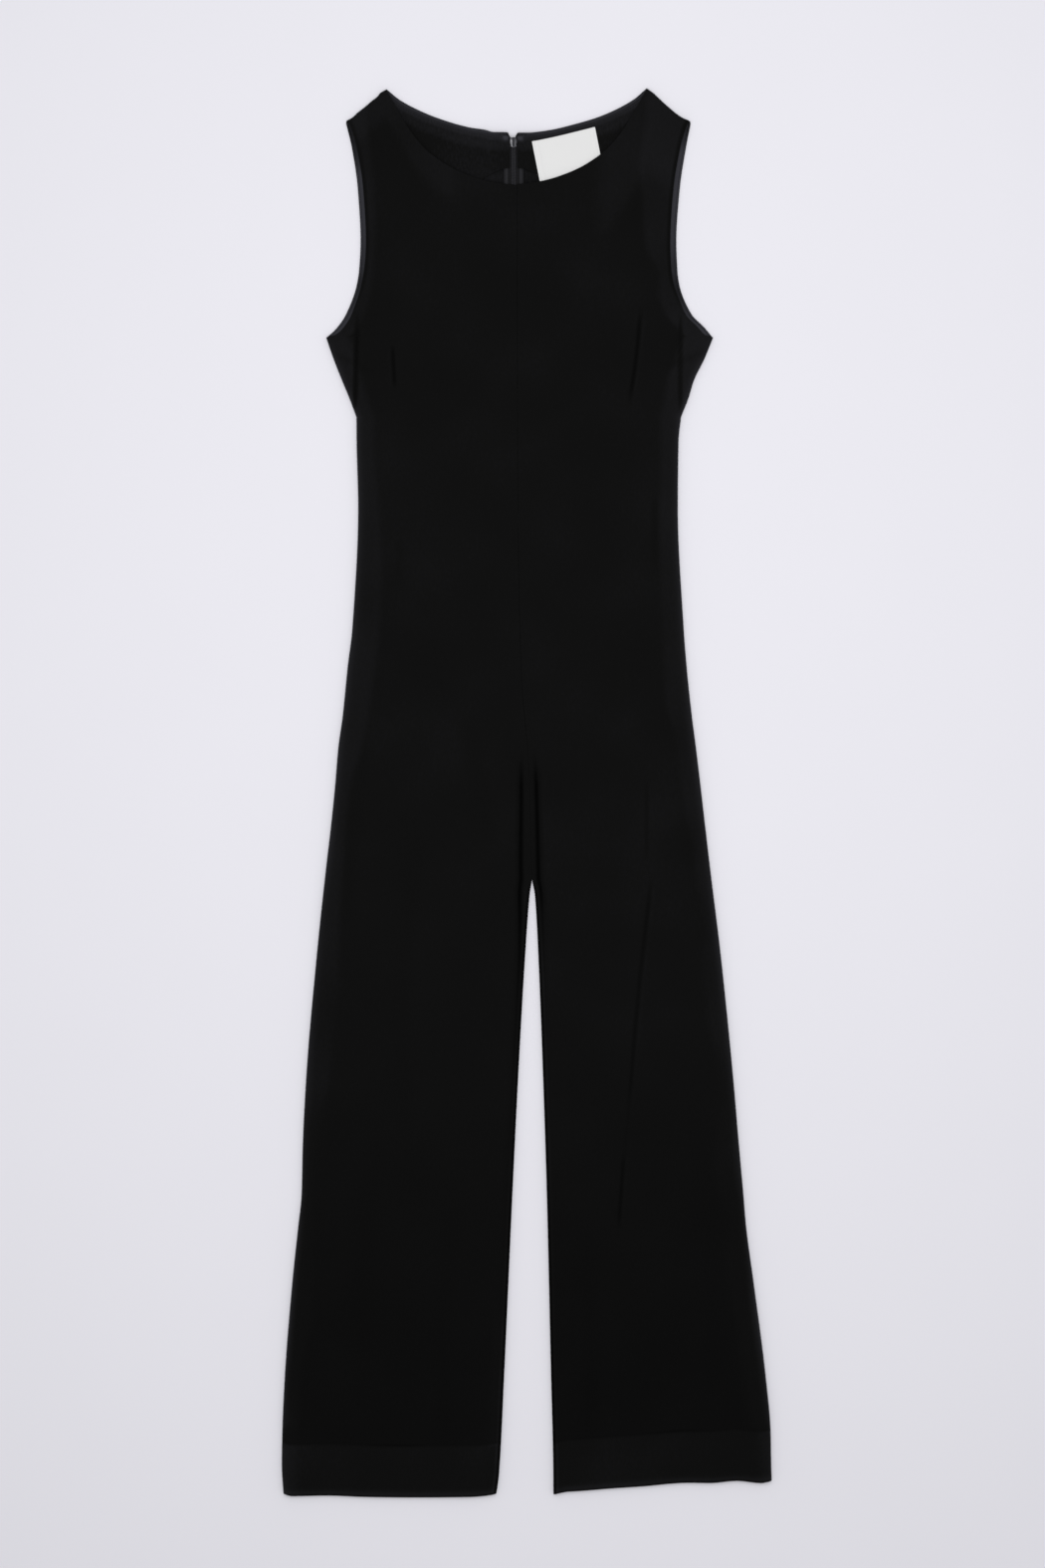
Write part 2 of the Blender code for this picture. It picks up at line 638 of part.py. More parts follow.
def zip_tape(side):
    """One tape of the zip with the bead of its coil along the inner edge."""
    top = neckline_y(side, NECK_MIDDLE, BACK_NECK_DEPTH) - FACING_INSET
    low = CLOTH + SEAM_GAP
    corners = (
        (0.0, low), (ZIP_TAPE, low), (ZIP_TAPE, low + LIGHT_CLOTH), (ZIP_BEAD, low + LIGHT_CLOTH),
        (ZIP_BEAD, low + ZIP_BEAD_HEIGHT), (0.0, low + ZIP_BEAD_HEIGHT),
    )
    build = bmesh.new()
    rings = []
    for y in (top - ZIP_LENGTH, *TAPE_ROWS, top):
        inner = through(CENTRE_BACK, y) + side * (zip_half_gap(y) + TAPE_CLEAR)
        spots = [(inner + side * across, z) for across, z in corners]
        rings.append([build.verts.new(Vector((x, y, z + lift(x, y))) * MM) for x, z in spots])
    for ring, following in zip(rings, rings[1:]):
        for n in range(len(ring)):
            build.faces.new((ring[n - 1], ring[n], following[n], following[n - 1]))
    for end in (rings[0], rings[-1]):
        build.faces.new(end)
    bmesh.ops.recalc_face_normals(build, faces=build.faces)
    return made_object(f"zip_tape_{SIDE_NAMES[side]}", build)


def box(size, centre):
    """A box as a mesh object, with its size in millimetres."""
    build = bmesh.new()
    scale = Matrix.Diagonal((*[side * MM for side in size], 1.0))
    bmesh.ops.create_cube(build, size=1.0, matrix=Matrix.Translation(Vector(centre) * MM) @ scale)
    return made_object("box", build)


def rod(radius, x0, x1, y, z):
    """A round rod along X, as a mesh object, in millimetres."""
    build = bmesh.new()
    centre = Matrix.Translation(Vector(((x0 + x1) / 2, y, z)) * MM)
    bmesh.ops.create_cone(
        build, cap_ends=True, segments=ROD_SIDES, radius1=radius * MM, radius2=radius * MM,
        depth=abs(x1 - x0) * MM, matrix=centre @ Matrix.Rotation(math.pi / 2, 4, "Y"),
    )
    return made_object("rod", build)


def combine(base, others, operation, helpers):
    """Boolean each of the others into the base. They go in the helpers' collection, unseen."""
    for other in others:
        helpers.objects.link(other)
        other.hide_render = True
        other.display_type = "WIRE"
        step = base.modifiers.new(operation.lower(), "BOOLEAN")
        step.operation = operation
        step.object = other
    return base


def zip_slider(helpers):
    """The slider: a plate over the two beads, a flange on each side and a post with an eye."""
    x = through(CENTRE_BACK, PIN_Y)
    y = PIN_Y + SLIDER_ABOVE_PIN - SLIDER_LENGTH / 2
    plate_low = CLOTH + SEAM_GAP + ZIP_BEAD_HEIGHT + LIFT + SEAM_GAP
    middle = plate_low + SLIDER_PLATE / 2
    plate = box((2 * SLIDER_HALF, SLIDER_LENGTH, SLIDER_PLATE), (x, y, middle))
    plate.name = "zip_slider"
    tape_top = CLOTH + SEAM_GAP + LIGHT_CLOTH + SEAM_GAP + LIFT
    joined = []
    for side in (RIGHT, LEFT):
        size = (SLIDER_FLANGE, SLIDER_LENGTH - SLIDER_FLANGE, middle - tape_top)
        across = side * (SLIDER_HALF - SLIDER_FLANGE / 2)
        joined.append(box(size, (x + across, y, (middle + tape_top) / 2)))
    joined.append(box((2 * POST_HALF, SLIDER_POST, middle - PIN_Z), (x, PIN_Y, (middle + PIN_Z) / 2)))
    joined.append(rod(EYE_RADIUS, x - POST_HALF, x + POST_HALF, PIN_Y, PIN_Z))
    bore = rod(EYE_BORE, x - 2 * POST_HALF, x + 2 * POST_HALF, PIN_Y, PIN_Z)
    combine(plate, joined, "UNION", helpers)
    return combine(plate, [bore], "DIFFERENCE", helpers)


def pull_plate(start):
    """The pull's flat drop as a mesh object: it hangs along -Y, with the pin's axis at the origin."""
    outline = bpy.data.curves.new("pull_outline", "CURVE")
    outline.dimensions = "2D"
    outline.fill_mode = "BOTH"
    outline.extrude = PULL_THICKNESS / 2 * MM
    corners = [(-PULL_NECK_HALF, -start), (PULL_NECK_HALF, -start)]
    for n in range(PULL_TIP_STEPS + 1):
        angle = math.pi * n / PULL_TIP_STEPS
        along = PULL_LENGTH - PULL_TIP_HALF * (1 - math.sin(angle))
        corners.append((PULL_TIP_HALF * math.cos(angle), -along))
    spline = outline.splines.new("POLY")
    spline.points.add(len(corners) - 1)
    for point, (across, along) in zip(spline.points, corners):
        point.co = (across * MM, along * MM, 0.0, 1.0)
    spline.use_cyclic_u = True

    drawn = bpy.data.objects.new("pull_outline", outline)
    drawn.location.z = (PULL_THICKNESS / 2 - PIN_Z) * MM
    bpy.context.scene.collection.objects.link(drawn)
    bpy.context.view_layer.update()
    graph = bpy.context.evaluated_depsgraph_get()
    flat = bpy.data.meshes.new_from_object(drawn.evaluated_get(graph))
    flat.transform(drawn.matrix_world)
    bpy.data.objects.remove(drawn)

    build = bmesh.new()
    build.from_mesh(flat)
    bpy.data.meshes.remove(flat)
    bmesh.ops.remove_doubles(build, verts=build.verts, dist=WELD)
    bmesh.ops.recalc_face_normals(build, faces=build.faces)
    return made_object("zip_pull", build)


def zip_pull(helpers):
    """The pull: a flat drop with two cheeks and a pin through the slider's eye."""
    x = through(CENTRE_BACK, PIN_Y)
    start = EYE_RADIUS + 2 * SEAM_GAP
    pull = pull_plate(start)
    pull.location = Vector((x, PIN_Y, PIN_Z)) * MM
    joined = []
    for side in (RIGHT, LEFT):
        inner, outer = x + side * CHEEK_INNER, x + side * CHEEK_OUTER
        joined.append(rod(CHEEK_RADIUS, inner, outer, PIN_Y, PIN_Z))
        arm = (CHEEK_OUTER - CHEEK_INNER, start + CHEEK_OVERLAP, CHEEK_ARM)
        spot = ((inner + outer) / 2, PIN_Y - arm[1] / 2, (PULL_THICKNESS + CHEEK_ARM_LOW) / 2)
        joined.append(box(arm, spot))
    pin_end = CHEEK_OUTER - PIN_SHORT
    joined.append(rod(PIN_RADIUS, x - pin_end, x + pin_end, PIN_Y, PIN_Z))
    return combine(pull, joined, "UNION", helpers)


def neck_label():
    """A plain woven label on the left back facing."""
    turn = math.radians(LABEL_TURN)
    across = Vector((math.cos(turn), math.sin(turn))) * LABEL_WIDTH
    down = Vector((math.sin(turn), -math.cos(turn))) * LABEL_LENGTH
    sections = []
    for row in range(LABEL_ROWS + 1):
        section = []
        for column in range(LABEL_COLUMNS + 1):
            spot = Vector(LABEL_CORNER) + across * column / LABEL_COLUMNS + down * row / LABEL_ROWS
            low = facing_bottom(spot.x, spot.y) + LIGHT_CLOTH + SEAM_GAP
            section.append(Vector((spot.x, spot.y, low)))
        sections.append(section)
    thing = loft("neck_label", sections, outside_up=False)
    return thicken(thing, LIGHT_CLOTH)


def main():
    for thing in list(bpy.data.objects):
        bpy.data.objects.remove(thing, do_unlink=True)
    scene = bpy.context.scene.collection
    jumpsuit = bpy.data.collections.new("jumpsuit")
    helpers = bpy.data.collections.new("cutters")
    scene.children.link(jumpsuit)
    scene.children.link(helpers)

    crepe = material("black_crepe", (0.0058, 0.0058, 0.0062), 0.85)
    facing_crepe = material("black_facing", (0.009, 0.009, 0.01), 0.8)
    tape = material("black_zip_tape", (0.012, 0.012, 0.013), 0.7)
    satin = material("white_label", (0.74, 0.74, 0.75), 0.6)
    metal = material("grey_metal", (0.32, 0.32, 0.34), 0.35, metallic=1.0)

    for side in (RIGHT, LEFT):
        finish(front_panel(side), jumpsuit, crepe)
        finish(back_panel(side), jumpsuit, crepe)
        finish(back_facing(side), jumpsuit, facing_crepe)
        finish(zip_tape(side), jumpsuit, tape, smooth=False)
    finish(neck_label(), jumpsuit, satin)
    finish(zip_slider(helpers), jumpsuit, metal, smooth=False)
    finish(zip_pull(helpers), jumpsuit, metal, smooth=False)


main()
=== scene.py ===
"""Dresses a sleeveless jumpsuit with wide legs, which lies flat on its back with the front up.

The packed frame gives the bodies and nodes. Each panel, facing, tape and the label is drawn again
here as a fine shell of cloth on its solid's form, with its folds, seams and hem, and the coil and
the stitches follow lines on those shells.

The tables are in millimetres. +X is the wearer's left, +Y runs from the hems to the shoulders, and
+Z is up. Blender gets metres.
"""

import math
from collections import namedtuple

import bmesh
import bpy
import numpy as np
from bpy.props import FloatProperty, FloatVectorProperty, PointerProperty
from mathutils import Matrix, Vector


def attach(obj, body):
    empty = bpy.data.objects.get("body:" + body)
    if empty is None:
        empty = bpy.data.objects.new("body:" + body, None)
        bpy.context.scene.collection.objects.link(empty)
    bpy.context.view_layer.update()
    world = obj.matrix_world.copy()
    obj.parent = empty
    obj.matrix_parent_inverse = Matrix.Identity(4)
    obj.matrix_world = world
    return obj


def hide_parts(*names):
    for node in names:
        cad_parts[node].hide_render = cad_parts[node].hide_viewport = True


bl_info = {
    "name": "Crepe Jumpsuit",
    "version": (1, 0, 0),
    "blender": (4, 5, 0),
    "location": "3D View > Sidebar > Jumpsuit",
    "description": "Makes the cloth, zip, label and stitching of a sleeveless jumpsuit laid flat",
    "category": "Add Mesh",
}

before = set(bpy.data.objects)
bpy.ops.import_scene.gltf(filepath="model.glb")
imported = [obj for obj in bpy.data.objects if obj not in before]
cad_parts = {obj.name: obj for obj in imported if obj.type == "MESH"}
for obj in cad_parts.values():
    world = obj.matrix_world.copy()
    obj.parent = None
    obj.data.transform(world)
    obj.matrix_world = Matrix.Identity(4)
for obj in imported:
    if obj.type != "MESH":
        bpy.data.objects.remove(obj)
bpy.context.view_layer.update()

MM = 0.001
RIGHT, LEFT = -1, 1
NAMES = {RIGHT: "right", LEFT: "left"}

# The silhouette's outer line, from hem to shoulder: x on the wearer's right and left at a height y
Edge = namedtuple("Edge", "name y right left")
ARMHOLE = (
    Edge("underarm", 457.7, -202.0, 186.7),
    Edge("tip of the underarm", 466.7, -191.9, 179.1),
    Edge("above the underarm", 481.7, -181.2, 164.1),
    Edge("lower armhole", 511.7, -170.4, 152.0),
    Edge("lower curve", 526.7, -168.2, 150.2),
    Edge("deepest armhole", 554.7, -166.8, 149.2),
    Edge("middle armhole", 606.7, -169.6, 152.6),
    Edge("upper armhole", 646.7, -175.3, 158.6),
    Edge("shoulder point", 674.7, -182.0, 164.1),
)
UNDERARM_SIDE = (
    Edge("foot of the underarm", 377.7, -171.5, 154.4),
    Edge("low on the pull", 396.7, -178.6, 161.9),
    Edge("pulled side", 414.7, -186.1, 167.5),
    Edge("under the tip", 436.7, -194.7, 178.2),
    Edge("underarm", 457.7, -202.0, 186.7),
)
SIDE_SEAM = (
    Edge("hem", -707.0, -244.6, 246.4),
    Edge("in the hem", -673.2, -246.5, 245.0),
    Edge("top of hem", -643.2, -246.0, 244.5),
    Edge("low flare", -583.2, -243.3, 239.2),
    Edge("flare", -493.2, -236.1, 227.6),
    Edge("low calf", -433.2, -229.8, 219.6),
    Edge("calf", -403.2, -226.6, 217.1),
    Edge("below the knee", -353.2, -225.4, 212.6),
    Edge("knee", -283.2, -221.8, 206.6),
    Edge("thigh", -163.2, -211.4, 194.4),
    Edge("crotch level", -73.2, -201.8, 183.4),
    Edge("under the hip", -33.2, -197.1, 178.7),
    Edge("low hip", 6.7, -193.0, 174.1),
    Edge("side of the hip", 46.7, -189.6, 169.3),
    Edge("hip", 76.7, -185.4, 165.4),
    Edge("upper hip", 126.7, -180.3, 160.1),
    Edge("high hip", 166.7, -175.5, 157.0),
    Edge("waist", 286.7, -169.7, 151.2),
    Edge("below the foot", 352.7, -171.3, 151.9),
    Edge("foot of the underarm", 377.7, -171.5, 154.4),
)
INSEAM = (
    Edge("hem", -707.0, -31.4, 26.2),
    Edge("in the hem", -683.2, -28.2, 26.1),
    Edge("low flare", -583.2, -23.0, 23.8),
    Edge("calf", -403.2, -14.8, 19.6),
    Edge("knee", -253.2, -7.3, 14.7),
    Edge("thigh", -163.2, -2.0, 11.1),
    Edge("under the crotch", -103.2, 2.4, 7.7),
    Edge("crotch", -86.2, 4.8, 4.8),
)
CENTRE_FRONT = ((-86.2, 4.8), (30.0, 1.6), (120.0, -6.2), (300.0, -9.6), (707.0, -10.7))
CENTRE_BACK = (
    (-86.2, 4.8), (103.0, -2.0), (300.0, -9.0), (600.0, -13.6), (649.0, -13.8),
    (655.0, -14.1), (660.0, -14.6), (707.0, -14.6),
)
SEAM_GAP = 0.3
BACK_INSET = 0.4

CROTCH_Y = -86.2
UNDERARM_Y = 457.7
WIDE_AGAIN_Y = 377.7
SHOULDER_Y = 674.7

# How far the front's armhole edge lies inside the silhouette, where the back's facing shows
ARMHOLE_INSETS = (
    Edge("underarm", 457.7, 5.0, 5.0),
    Edge("just above it", 462.7, 6.8, 6.8),
    Edge("low on the armhole", 471.7, 6.2, 6.4),
    Edge("lower armhole", 484.7, 4.9, 5.2),
    Edge("below the curve", 496.7, 4.2, 4.2),
    Edge("lower curve", 512.7, 4.0, 5.0),
    Edge("deepest armhole", 536.7, 4.8, 5.6),
    Edge("middle armhole", 566.7, 4.8, 5.4),
    Edge("above the middle", 596.7, 4.8, 5.7),
    Edge("upper armhole", 620.7, 4.7, 5.6),
    Edge("near the shoulder", 648.7, 4.1, 5.0),
    Edge("under the shoulder", 662.7, 3.4, 3.8),
    Edge("shoulder point", 674.7, 1.6, 1.6),
)

# Neckline: both necklines hang between the neck points, as deep as these at the centre
NECK_MIDDLE = -10.6
NECK_POINT = {RIGHT: (-141.5, 706.4), LEFT: (120.3, 707.4)}
SHOULDER_POINT = {RIGHT: (-182.0, 674.7), LEFT: (164.1, 674.0)}

# How far the shoulder seam drops below the line from the neck point to the shoulder point, by the
# share of the way
SHOULDER_DROPS = {
    RIGHT: (
        (0.0, 0.0), (0.05, -0.7), (0.15, -1.7), (0.23, -0.2), (0.36, -0.4), (0.47, 0.1), (0.59, 0.25),
        (0.71, 0.2), (0.82, 1.0), (1.0, -0.3),
    ),
    LEFT: (
        (0.0, 0.0), (0.05, -0.4), (0.145, -0.7), (0.24, 0.05), (0.34, 0.85), (0.435, 1.55),
        (0.545, 2.0), (0.65, 2.4), (0.78, 2.1), (0.97, -0.3), (1.0, -0.5),
    ),
}
FRONT_NECK_DEPTH = 96.5
BACK_NECK_DEPTH = 44.0
TOP_BLEND = 2.0

# How a neckline rises: its share of the depth, by the share of the way to the neck point
FRONT_NECK_RISE = ((0.0, 0.0), (0.17, 0.03), (0.43, 0.142), (0.66, 0.332), (0.8, 0.54), (1.0, 1.0))
NECK_RISES = {
    (RIGHT, FRONT_NECK_DEPTH): FRONT_NECK_RISE,
    (LEFT, FRONT_NECK_DEPTH): FRONT_NECK_RISE,
    (RIGHT, BACK_NECK_DEPTH): (
        (0.0, -0.002), (0.116, 0.01), (0.177, 0.013), (0.238, 0.065), (0.36, 0.126), (0.605, 0.338),
        (0.819, 0.616), (0.91, 0.778), (1.0, 1.0),
    ),
    (LEFT, BACK_NECK_DEPTH): (
        (0.0, -0.026), (0.098, -0.022), (0.159, -0.003), (0.285, 0.06), (0.404, 0.146), (0.587, 0.3),
        (0.709, 0.439), (0.893, 0.73), (1.0, 1.0),
    ),
}

# Hem lines: y by the share of the way from the inner to the outer edge of each leg
HEM_LINES = {
    RIGHT: (
        (0.0, -704.0), (0.05, -705.7), (0.12, -706.9), (0.36, -707.4), (0.61, -706.9), (0.8, -705.5),
        (0.96, -706.0), (1.0, -703.9),
    ),
    LEFT: (
        (0.0, -704.5), (0.07, -701.6), (0.11, -701.1), (0.26, -698.4), (0.4, -696.4), (0.62, -692.6),
        (0.72, -692.9), (0.84, -690.7), (0.95, -693.0), (1.0, -690.8),
    ),
}
HEM_DEPTH = 52.5
# Painted shade along the hem's step is deepest near these x positions; HEM_GLOW is the painted light on the
# band below it
HEM_SHADE_SPOTS = (-132.0, 150.0)
HEM_ROUND, HEM_STANDS = 1.0, 0.75
HEM_GLOW = {RIGHT: 0.35, LEFT: 0.31}
ABOVE_HEM = -610.0
FAR_ABOVE_HEM = 100.0

# How high the front's outer face lies at the panel's middle, at a height y
FRONT_LEVEL = (
    (-707.0, 5.0), (-650.0, 5.2), (-600.0, 4.9), (-400.0, 4.8), (-200.0, 5.0), (-90.0, 5.4),
    (40.0, 5.4), (287.0, 5.1), (460.0, 5.2), (600.0, 5.7), (707.0, 5.7),
)
SHOULDER_LEVEL, SHOULDER_SEAM_Z, SHOULDER_ROLL = 4.1, 2.35, 3.2
SHOULDER_SLOPE = 26.0

# The front's rolled edges: roll is the width, end is the angle where it stops below its widest
# point, land is the height that it comes down to, and puff is how far it stands over the middle
Roll = namedtuple("Roll", "name y roll end land puff")
OUTER_ROLLS = (
    Roll("hem", -707.0, 3.6, -15.0, 2.2, 0.7),
    Roll("top of hem", -652.0, 3.6, -15.0, 2.2, 0.7),
    Roll("flare", -620.0, 3.6, -25.0, 2.2, 1.0),
    Roll("leg", -86.0, 3.8, -25.0, 2.2, 1.0),
    Roll("waist", 287.0, 3.8, -25.0, 2.2, 1.0),
    Roll("foot of the underarm", 377.7, 3.4, -25.0, 2.2, 0.8),
    Roll("pulled side", 425.0, 2.6, -10.0, 2.2, -0.6),
    Roll("underarm", 450.0, 2.2, 0.0, 2.4, -0.6),
    Roll("armhole", 554.7, 2.0, 0.0, 2.8, -0.6),
    Roll("shoulder", 707.0, 1.6, 0.0, 2.8, 0.0),
)
INNER_ROLLS = (
    Roll("hem", -707.0, 3.2, -15.0, 2.2, 0.0),
    Roll("top of hem", -652.0, 3.2, -15.0, 2.2, 0.0),
    Roll("flare", -610.0, 2.6, -20.0, 2.1, 0.0),
    Roll("knee", -285.0, 2.2, -15.0, 2.1, 0.0),
    Roll("thigh", -165.0, 1.8, -5.0, 2.1, 0.0),
    Roll("crotch", -86.0, 1.6, 0.0, 2.1, 0.0),
)
PUFF_START, PUFF_WIDTH = 4.0, 22.0
CURL_HEIGHT, CURL_WIDTH = 1.95, 3.2

# The centre seams are grooves: their cloth turns in by this width and depth, and its edge stands
# out by SEAM_MEETS to meet the other side's. The back's bends by a share of a quarter circle.
SEAM_ROLL, SEAM_END = 1.3, 60.0
SEAM_DEPTHS = ((-86.0, 0.02), (30.0, 0.03), (80.0, 0.09), (400.0, 0.11), (707.0, 0.12))
SEAM_MEETS = 0.16
BACK_SEAM_ROLL, BACK_SEAM_DEPTH, BACK_SEAM_BEND, BACK_SEAM_MEETS = 1.2, 0.42, 0.6, 0.02
SPLIT_LENGTH = 14.0

# Up to these heights the back's centre seam is closed under the zip, and its side seam is sewn
SEWN_SHUT_Y, SEAMED_Y = (636.0, 650.0), (425.0, 452.0)

# The crease beside the crotch and down the inner leg: how far it lies from the inner edge on each
# side, how much lower the cloth lies between the two, and how dark the painted shade on its line is on each
# side
Crease = namedtuple("Crease", "name y right left drop dark_right dark_left")
CROTCH_CREASES = (
    Crease("hem", -707.0, 9.0, 9.0, 0.0, 0.0, 0.0),
    Crease("calf", -403.0, 6.0, 6.0, 0.1, 0.1, 0.0),
    Crease("knee", -225.0, 5.0, 5.2, 0.9, 0.4, 0.05),
    Crease("low thigh", -175.0, 5.4, 5.3, 1.3, 0.6, 0.1),
    Crease("thigh", -130.0, 7.4, 5.6, 1.7, 0.85, 0.35),
    Crease("crotch", -86.0, 11.2, 6.6, 1.9, 1.0, 1.0),
    Crease("top of the crease", 5.0, 8.6, 6.6, 1.6, 0.9, 0.9),
    Crease("above it", 45.0, 7.6, 6.4, 0.0, 0.0, 0.0),
    Crease("bodice", 707.0, 7.6, 7.6, 0.0, 0.0, 0.0),
)
CREASE_HALF, CREASE_REACH = 1.1, 2.2

# A line that runs down each front from the neck point, over the bust and down the leg, where the
# longest folds lie and the columns gather
FOLD_LINES = {
    RIGHT: (
        (-707.0, -138.0), (-400.0, -124.0), (-86.0, -118.0), (160.0, -120.0), (287.0, -126.0),
        (412.0, -133.2), (444.0, -135.0), (560.0, -136.6), (707.0, -141.5),
    ),
    LEFT: (
        (-707.0, 83.0), (-428.0, 92.4), (-370.0, 96.4), (-310.0, 102.6), (-255.0, 106.4),
        (-200.0, 111.8), (-142.0, 118.2), (-108.0, 121.4), (-56.0, 119.8), (4.0, 119.8),
        (160.0, 112.0), (287.0, 106.0), (404.0, 104.6), (473.0, 112.8), (560.0, 116.0), (707.0, 120.3),
    ),
}
FOLD_SIDE = 8.0
FOLD_LEAN = 0.75

# Folds: each runs between two points, and bows outwards between them. A valley has a ridge along
# its outer side, and painted shade makes the valley this much darker, with a little painted light on the
# ridge.
Fold = namedtuple("Fold", "name x0 y0 x1 y1 width depth dark bow", defaults=(0.0,))
FRONT_FOLDS = (
    Fold("right bust fold", -135.0, 444.0, -133.2, 412.0, 2.4, 1.0, 0.6),
    Fold("left bust fold", 112.6, 473.0, 104.4, 404.0, 2.4, 1.1, 0.6, 0.9),
    Fold("right underarm crease", -171.0, 466.0, -173.0, 392.0, 2.6, 1.0, 0.7),
    Fold("left underarm crease", 153.9, 468.0, 153.7, 392.0, 2.4, 0.9, 0.5),
    Fold("right underarm pull", -192.0, 440.0, -158.0, 424.0, 5.0, 0.5, 0.1),
    Fold("left underarm pull", 181.0, 444.0, 146.0, 430.0, 5.0, 0.5, 0.1),
    Fold("left waist pinch", 127.8, 290.0, 127.8, 236.0, 4.0, 0.45, 0.12),
    Fold("right waist pinch", -128.0, 250.0, -130.0, 214.0, 5.0, 0.25, 0.05),
    Fold("left thigh crease", 119.8, 4.0, 119.8, -56.0, 2.6, 0.4, 0.13),
    Fold("left knee crease", 122.0, -108.0, 104.0, -292.0, 2.4, 0.8, 0.4, -1.3),
    Fold("left calf crease", 103.5, -296.0, 98.5, -358.0, 2.4, 0.3, 0.12),
    Fold("left shin crease", 96.3, -370.0, 92.4, -428.0, 2.4, 0.8, 0.45),
    Fold("right thigh drape", -112.0, -60.0, -126.0, -330.0, 15.0, 0.7, 0.05, 8.1),
    Fold("right shin drape", -152.0, -360.0, -168.0, -610.0, 17.0, 0.8, 0.05, 7.5),
    Fold("right inner shin drape", -72.0, -420.0, -84.0, -640.0, 15.0, 0.7, 0.05, 6.6),
    Fold("left shin drape", 168.0, -330.0, 188.0, -600.0, 17.0, 0.8, 0.05, 8.2),
    Fold("left inner shin drape", 58.0, -470.0, 62.0, -650.0, 13.0, 0.6, 0.05, 5.4),
    Fold("right hip drape", -164.0, 40.0, -182.0, -120.0, 12.0, 0.5, 0.05, 4.8),
    Fold("left hip drape", 152.0, 60.0, 166.0, -60.0, 11.0, 0.4, 0.05, 3.6),
    Fold("front lap drape", -58.0, 60.0, -40.0, -40.0, 14.0, 0.5, 0.05),
)
BACK_FOLDS = (
    Fold("right seat fold", -92.0, 40.0, -104.0, -90.0, 12.0, 0.9, 0.2, 3.9),
    Fold("left seat fold", 84.0, 30.0, 92.0, -110.0, 12.0, 0.9, 0.2, 4.2),
    Fold("right calf fold", -126.0, -180.0, -142.0, -460.0, 13.0, 1.0, 0.2, 8.4),
    Fold("left calf fold", 112.0, -220.0, 124.0, -520.0, 13.0, 1.0, 0.2, 9.0),
    Fold("right shin fold", -196.0, -380.0, -206.0, -600.0, 12.0, 0.8, 0.2, 6.6),
    Fold("left shin fold", 62.0, -420.0, 60.0, -620.0, 12.0, 0.8, 0.2, 6.0),
    Fold("right waist fold", -112.0, 330.0, -118.0, 220.0, 9.0, 0.7, 0.2),
    Fold("left waist fold", 96.0, 336.0, 100.0, 230.0, 9.0, 0.7, 0.2),
)
FOLD_TAPER = 26.0
RIDGE_SHARE, RIDGE_LIGHT = 0.45, 0.2
RIDGE_AT = 1.6

# Painted sheen along the front's rolled outer edges, from hem to shoulder: how much lighter the
# fold itself is painted, and the band inside it, and how far in that band reaches
EdgeSheen = namedtuple("EdgeSheen", "y fold band reach")
PAINTED_EDGE_SHEEN = {
    side: tuple(EdgeSheen(*row) for row in rows)
    for side, rows in {
        RIGHT: (
            (-707.0, 0.4, 0.08, 14.0), (-645.0, 0.4, 0.12, 14.0), (-629.0, 0.6, 0.28, 15.0),
            (-584.0, 1.0, 0.22, 15.0), (-524.0, 1.5, 0.16, 23.0), (-464.0, 1.3, 0.08, 16.0),
            (-390.0, 0.6, 0.09, 11.0), (-344.0, 0.5, 0.12, 15.0), (-284.0, 0.9, 0.12, 25.0),
            (-210.0, 0.9, 0.07, 26.0), (-134.0, 0.7, 0.14, 20.0), (-40.0, 1.3, 0.13, 16.5),
            (0.0, 1.1, 0.13, 16.0), (61.0, 1.1, 0.13, 25.0), (181.0, 1.0, 0.125, 28.0),
            (286.0, 0.95, 0.125, 21.0), (346.0, 1.0, 0.125, 17.0), (391.0, 1.0, 0.13, 18.0),
            (425.0, 1.0, 0.17, 21.0), (450.0, 0.3, 0.22, 22.0), (475.0, 0.0, 0.12, 20.0),
            (520.0, 0.0, 0.13, 14.0), (600.0, 0.0, 0.13, 15.0), (640.0, 0.0, 0.13, 18.0),
            (707.0, 0.0, 0.13, 22.0),
        ),
        LEFT: (
            (-707.0, 0.4, 0.08, 14.0), (-645.0, 0.4, 0.1, 14.0), (-629.0, 0.8, 0.2, 20.0),
            (-584.0, 1.1, 0.17, 22.0), (-524.0, 1.8, 0.15, 22.0), (-479.0, 1.2, 0.1, 26.0),
            (-434.0, 0.9, 0.09, 18.0), (-374.0, 0.9, 0.13, 27.0), (-329.0, 0.8, 0.11, 19.0),
            (-284.0, 0.9, 0.1, 16.0), (-194.0, 1.25, 0.07, 21.0), (-134.0, 1.3, 0.05, 13.0),
            (-74.0, 0.9, 0.12, 15.0), (-14.0, 0.95, 0.14, 18.0), (46.0, 1.2, 0.12, 19.0),
            (91.0, 1.1, 0.12, 25.0), (181.0, 1.05, 0.09, 21.0), (256.0, 0.95, 0.12, 18.5),
            (346.0, 0.8, 0.12, 17.5), (391.0, 1.1, 0.16, 23.0), (425.0, 1.1, 0.21, 28.0),
            (450.0, 0.3, 0.28, 30.0), (475.0, 0.0, 0.24, 26.0), (497.0, 0.0, 0.14, 24.0),
            (520.0, 0.0, 0.12, 18.0), (545.0, 0.0, 0.18, 29.0), (600.0, 0.0, 0.16, 37.0),
            (645.0, 0.0, 0.14, 44.0), (707.0, 0.0, 0.14, 44.0),
        ),
    }.items()
}
FOLD_FADE, BAND_FADE = 2.5, 5.0

# Below each shoulder seam the front looks lighter down to the first of these depths, and no longer
# at the second
SHOULDER_GLOW = {RIGHT: (20.0, 42.0), LEFT: (66.0, 96.0)}

# How dark the painted shade is just inside the front's armhole edge
ARMHOLE_PAINTED_SHADE = {RIGHT: 0.22, LEFT: 0.42}

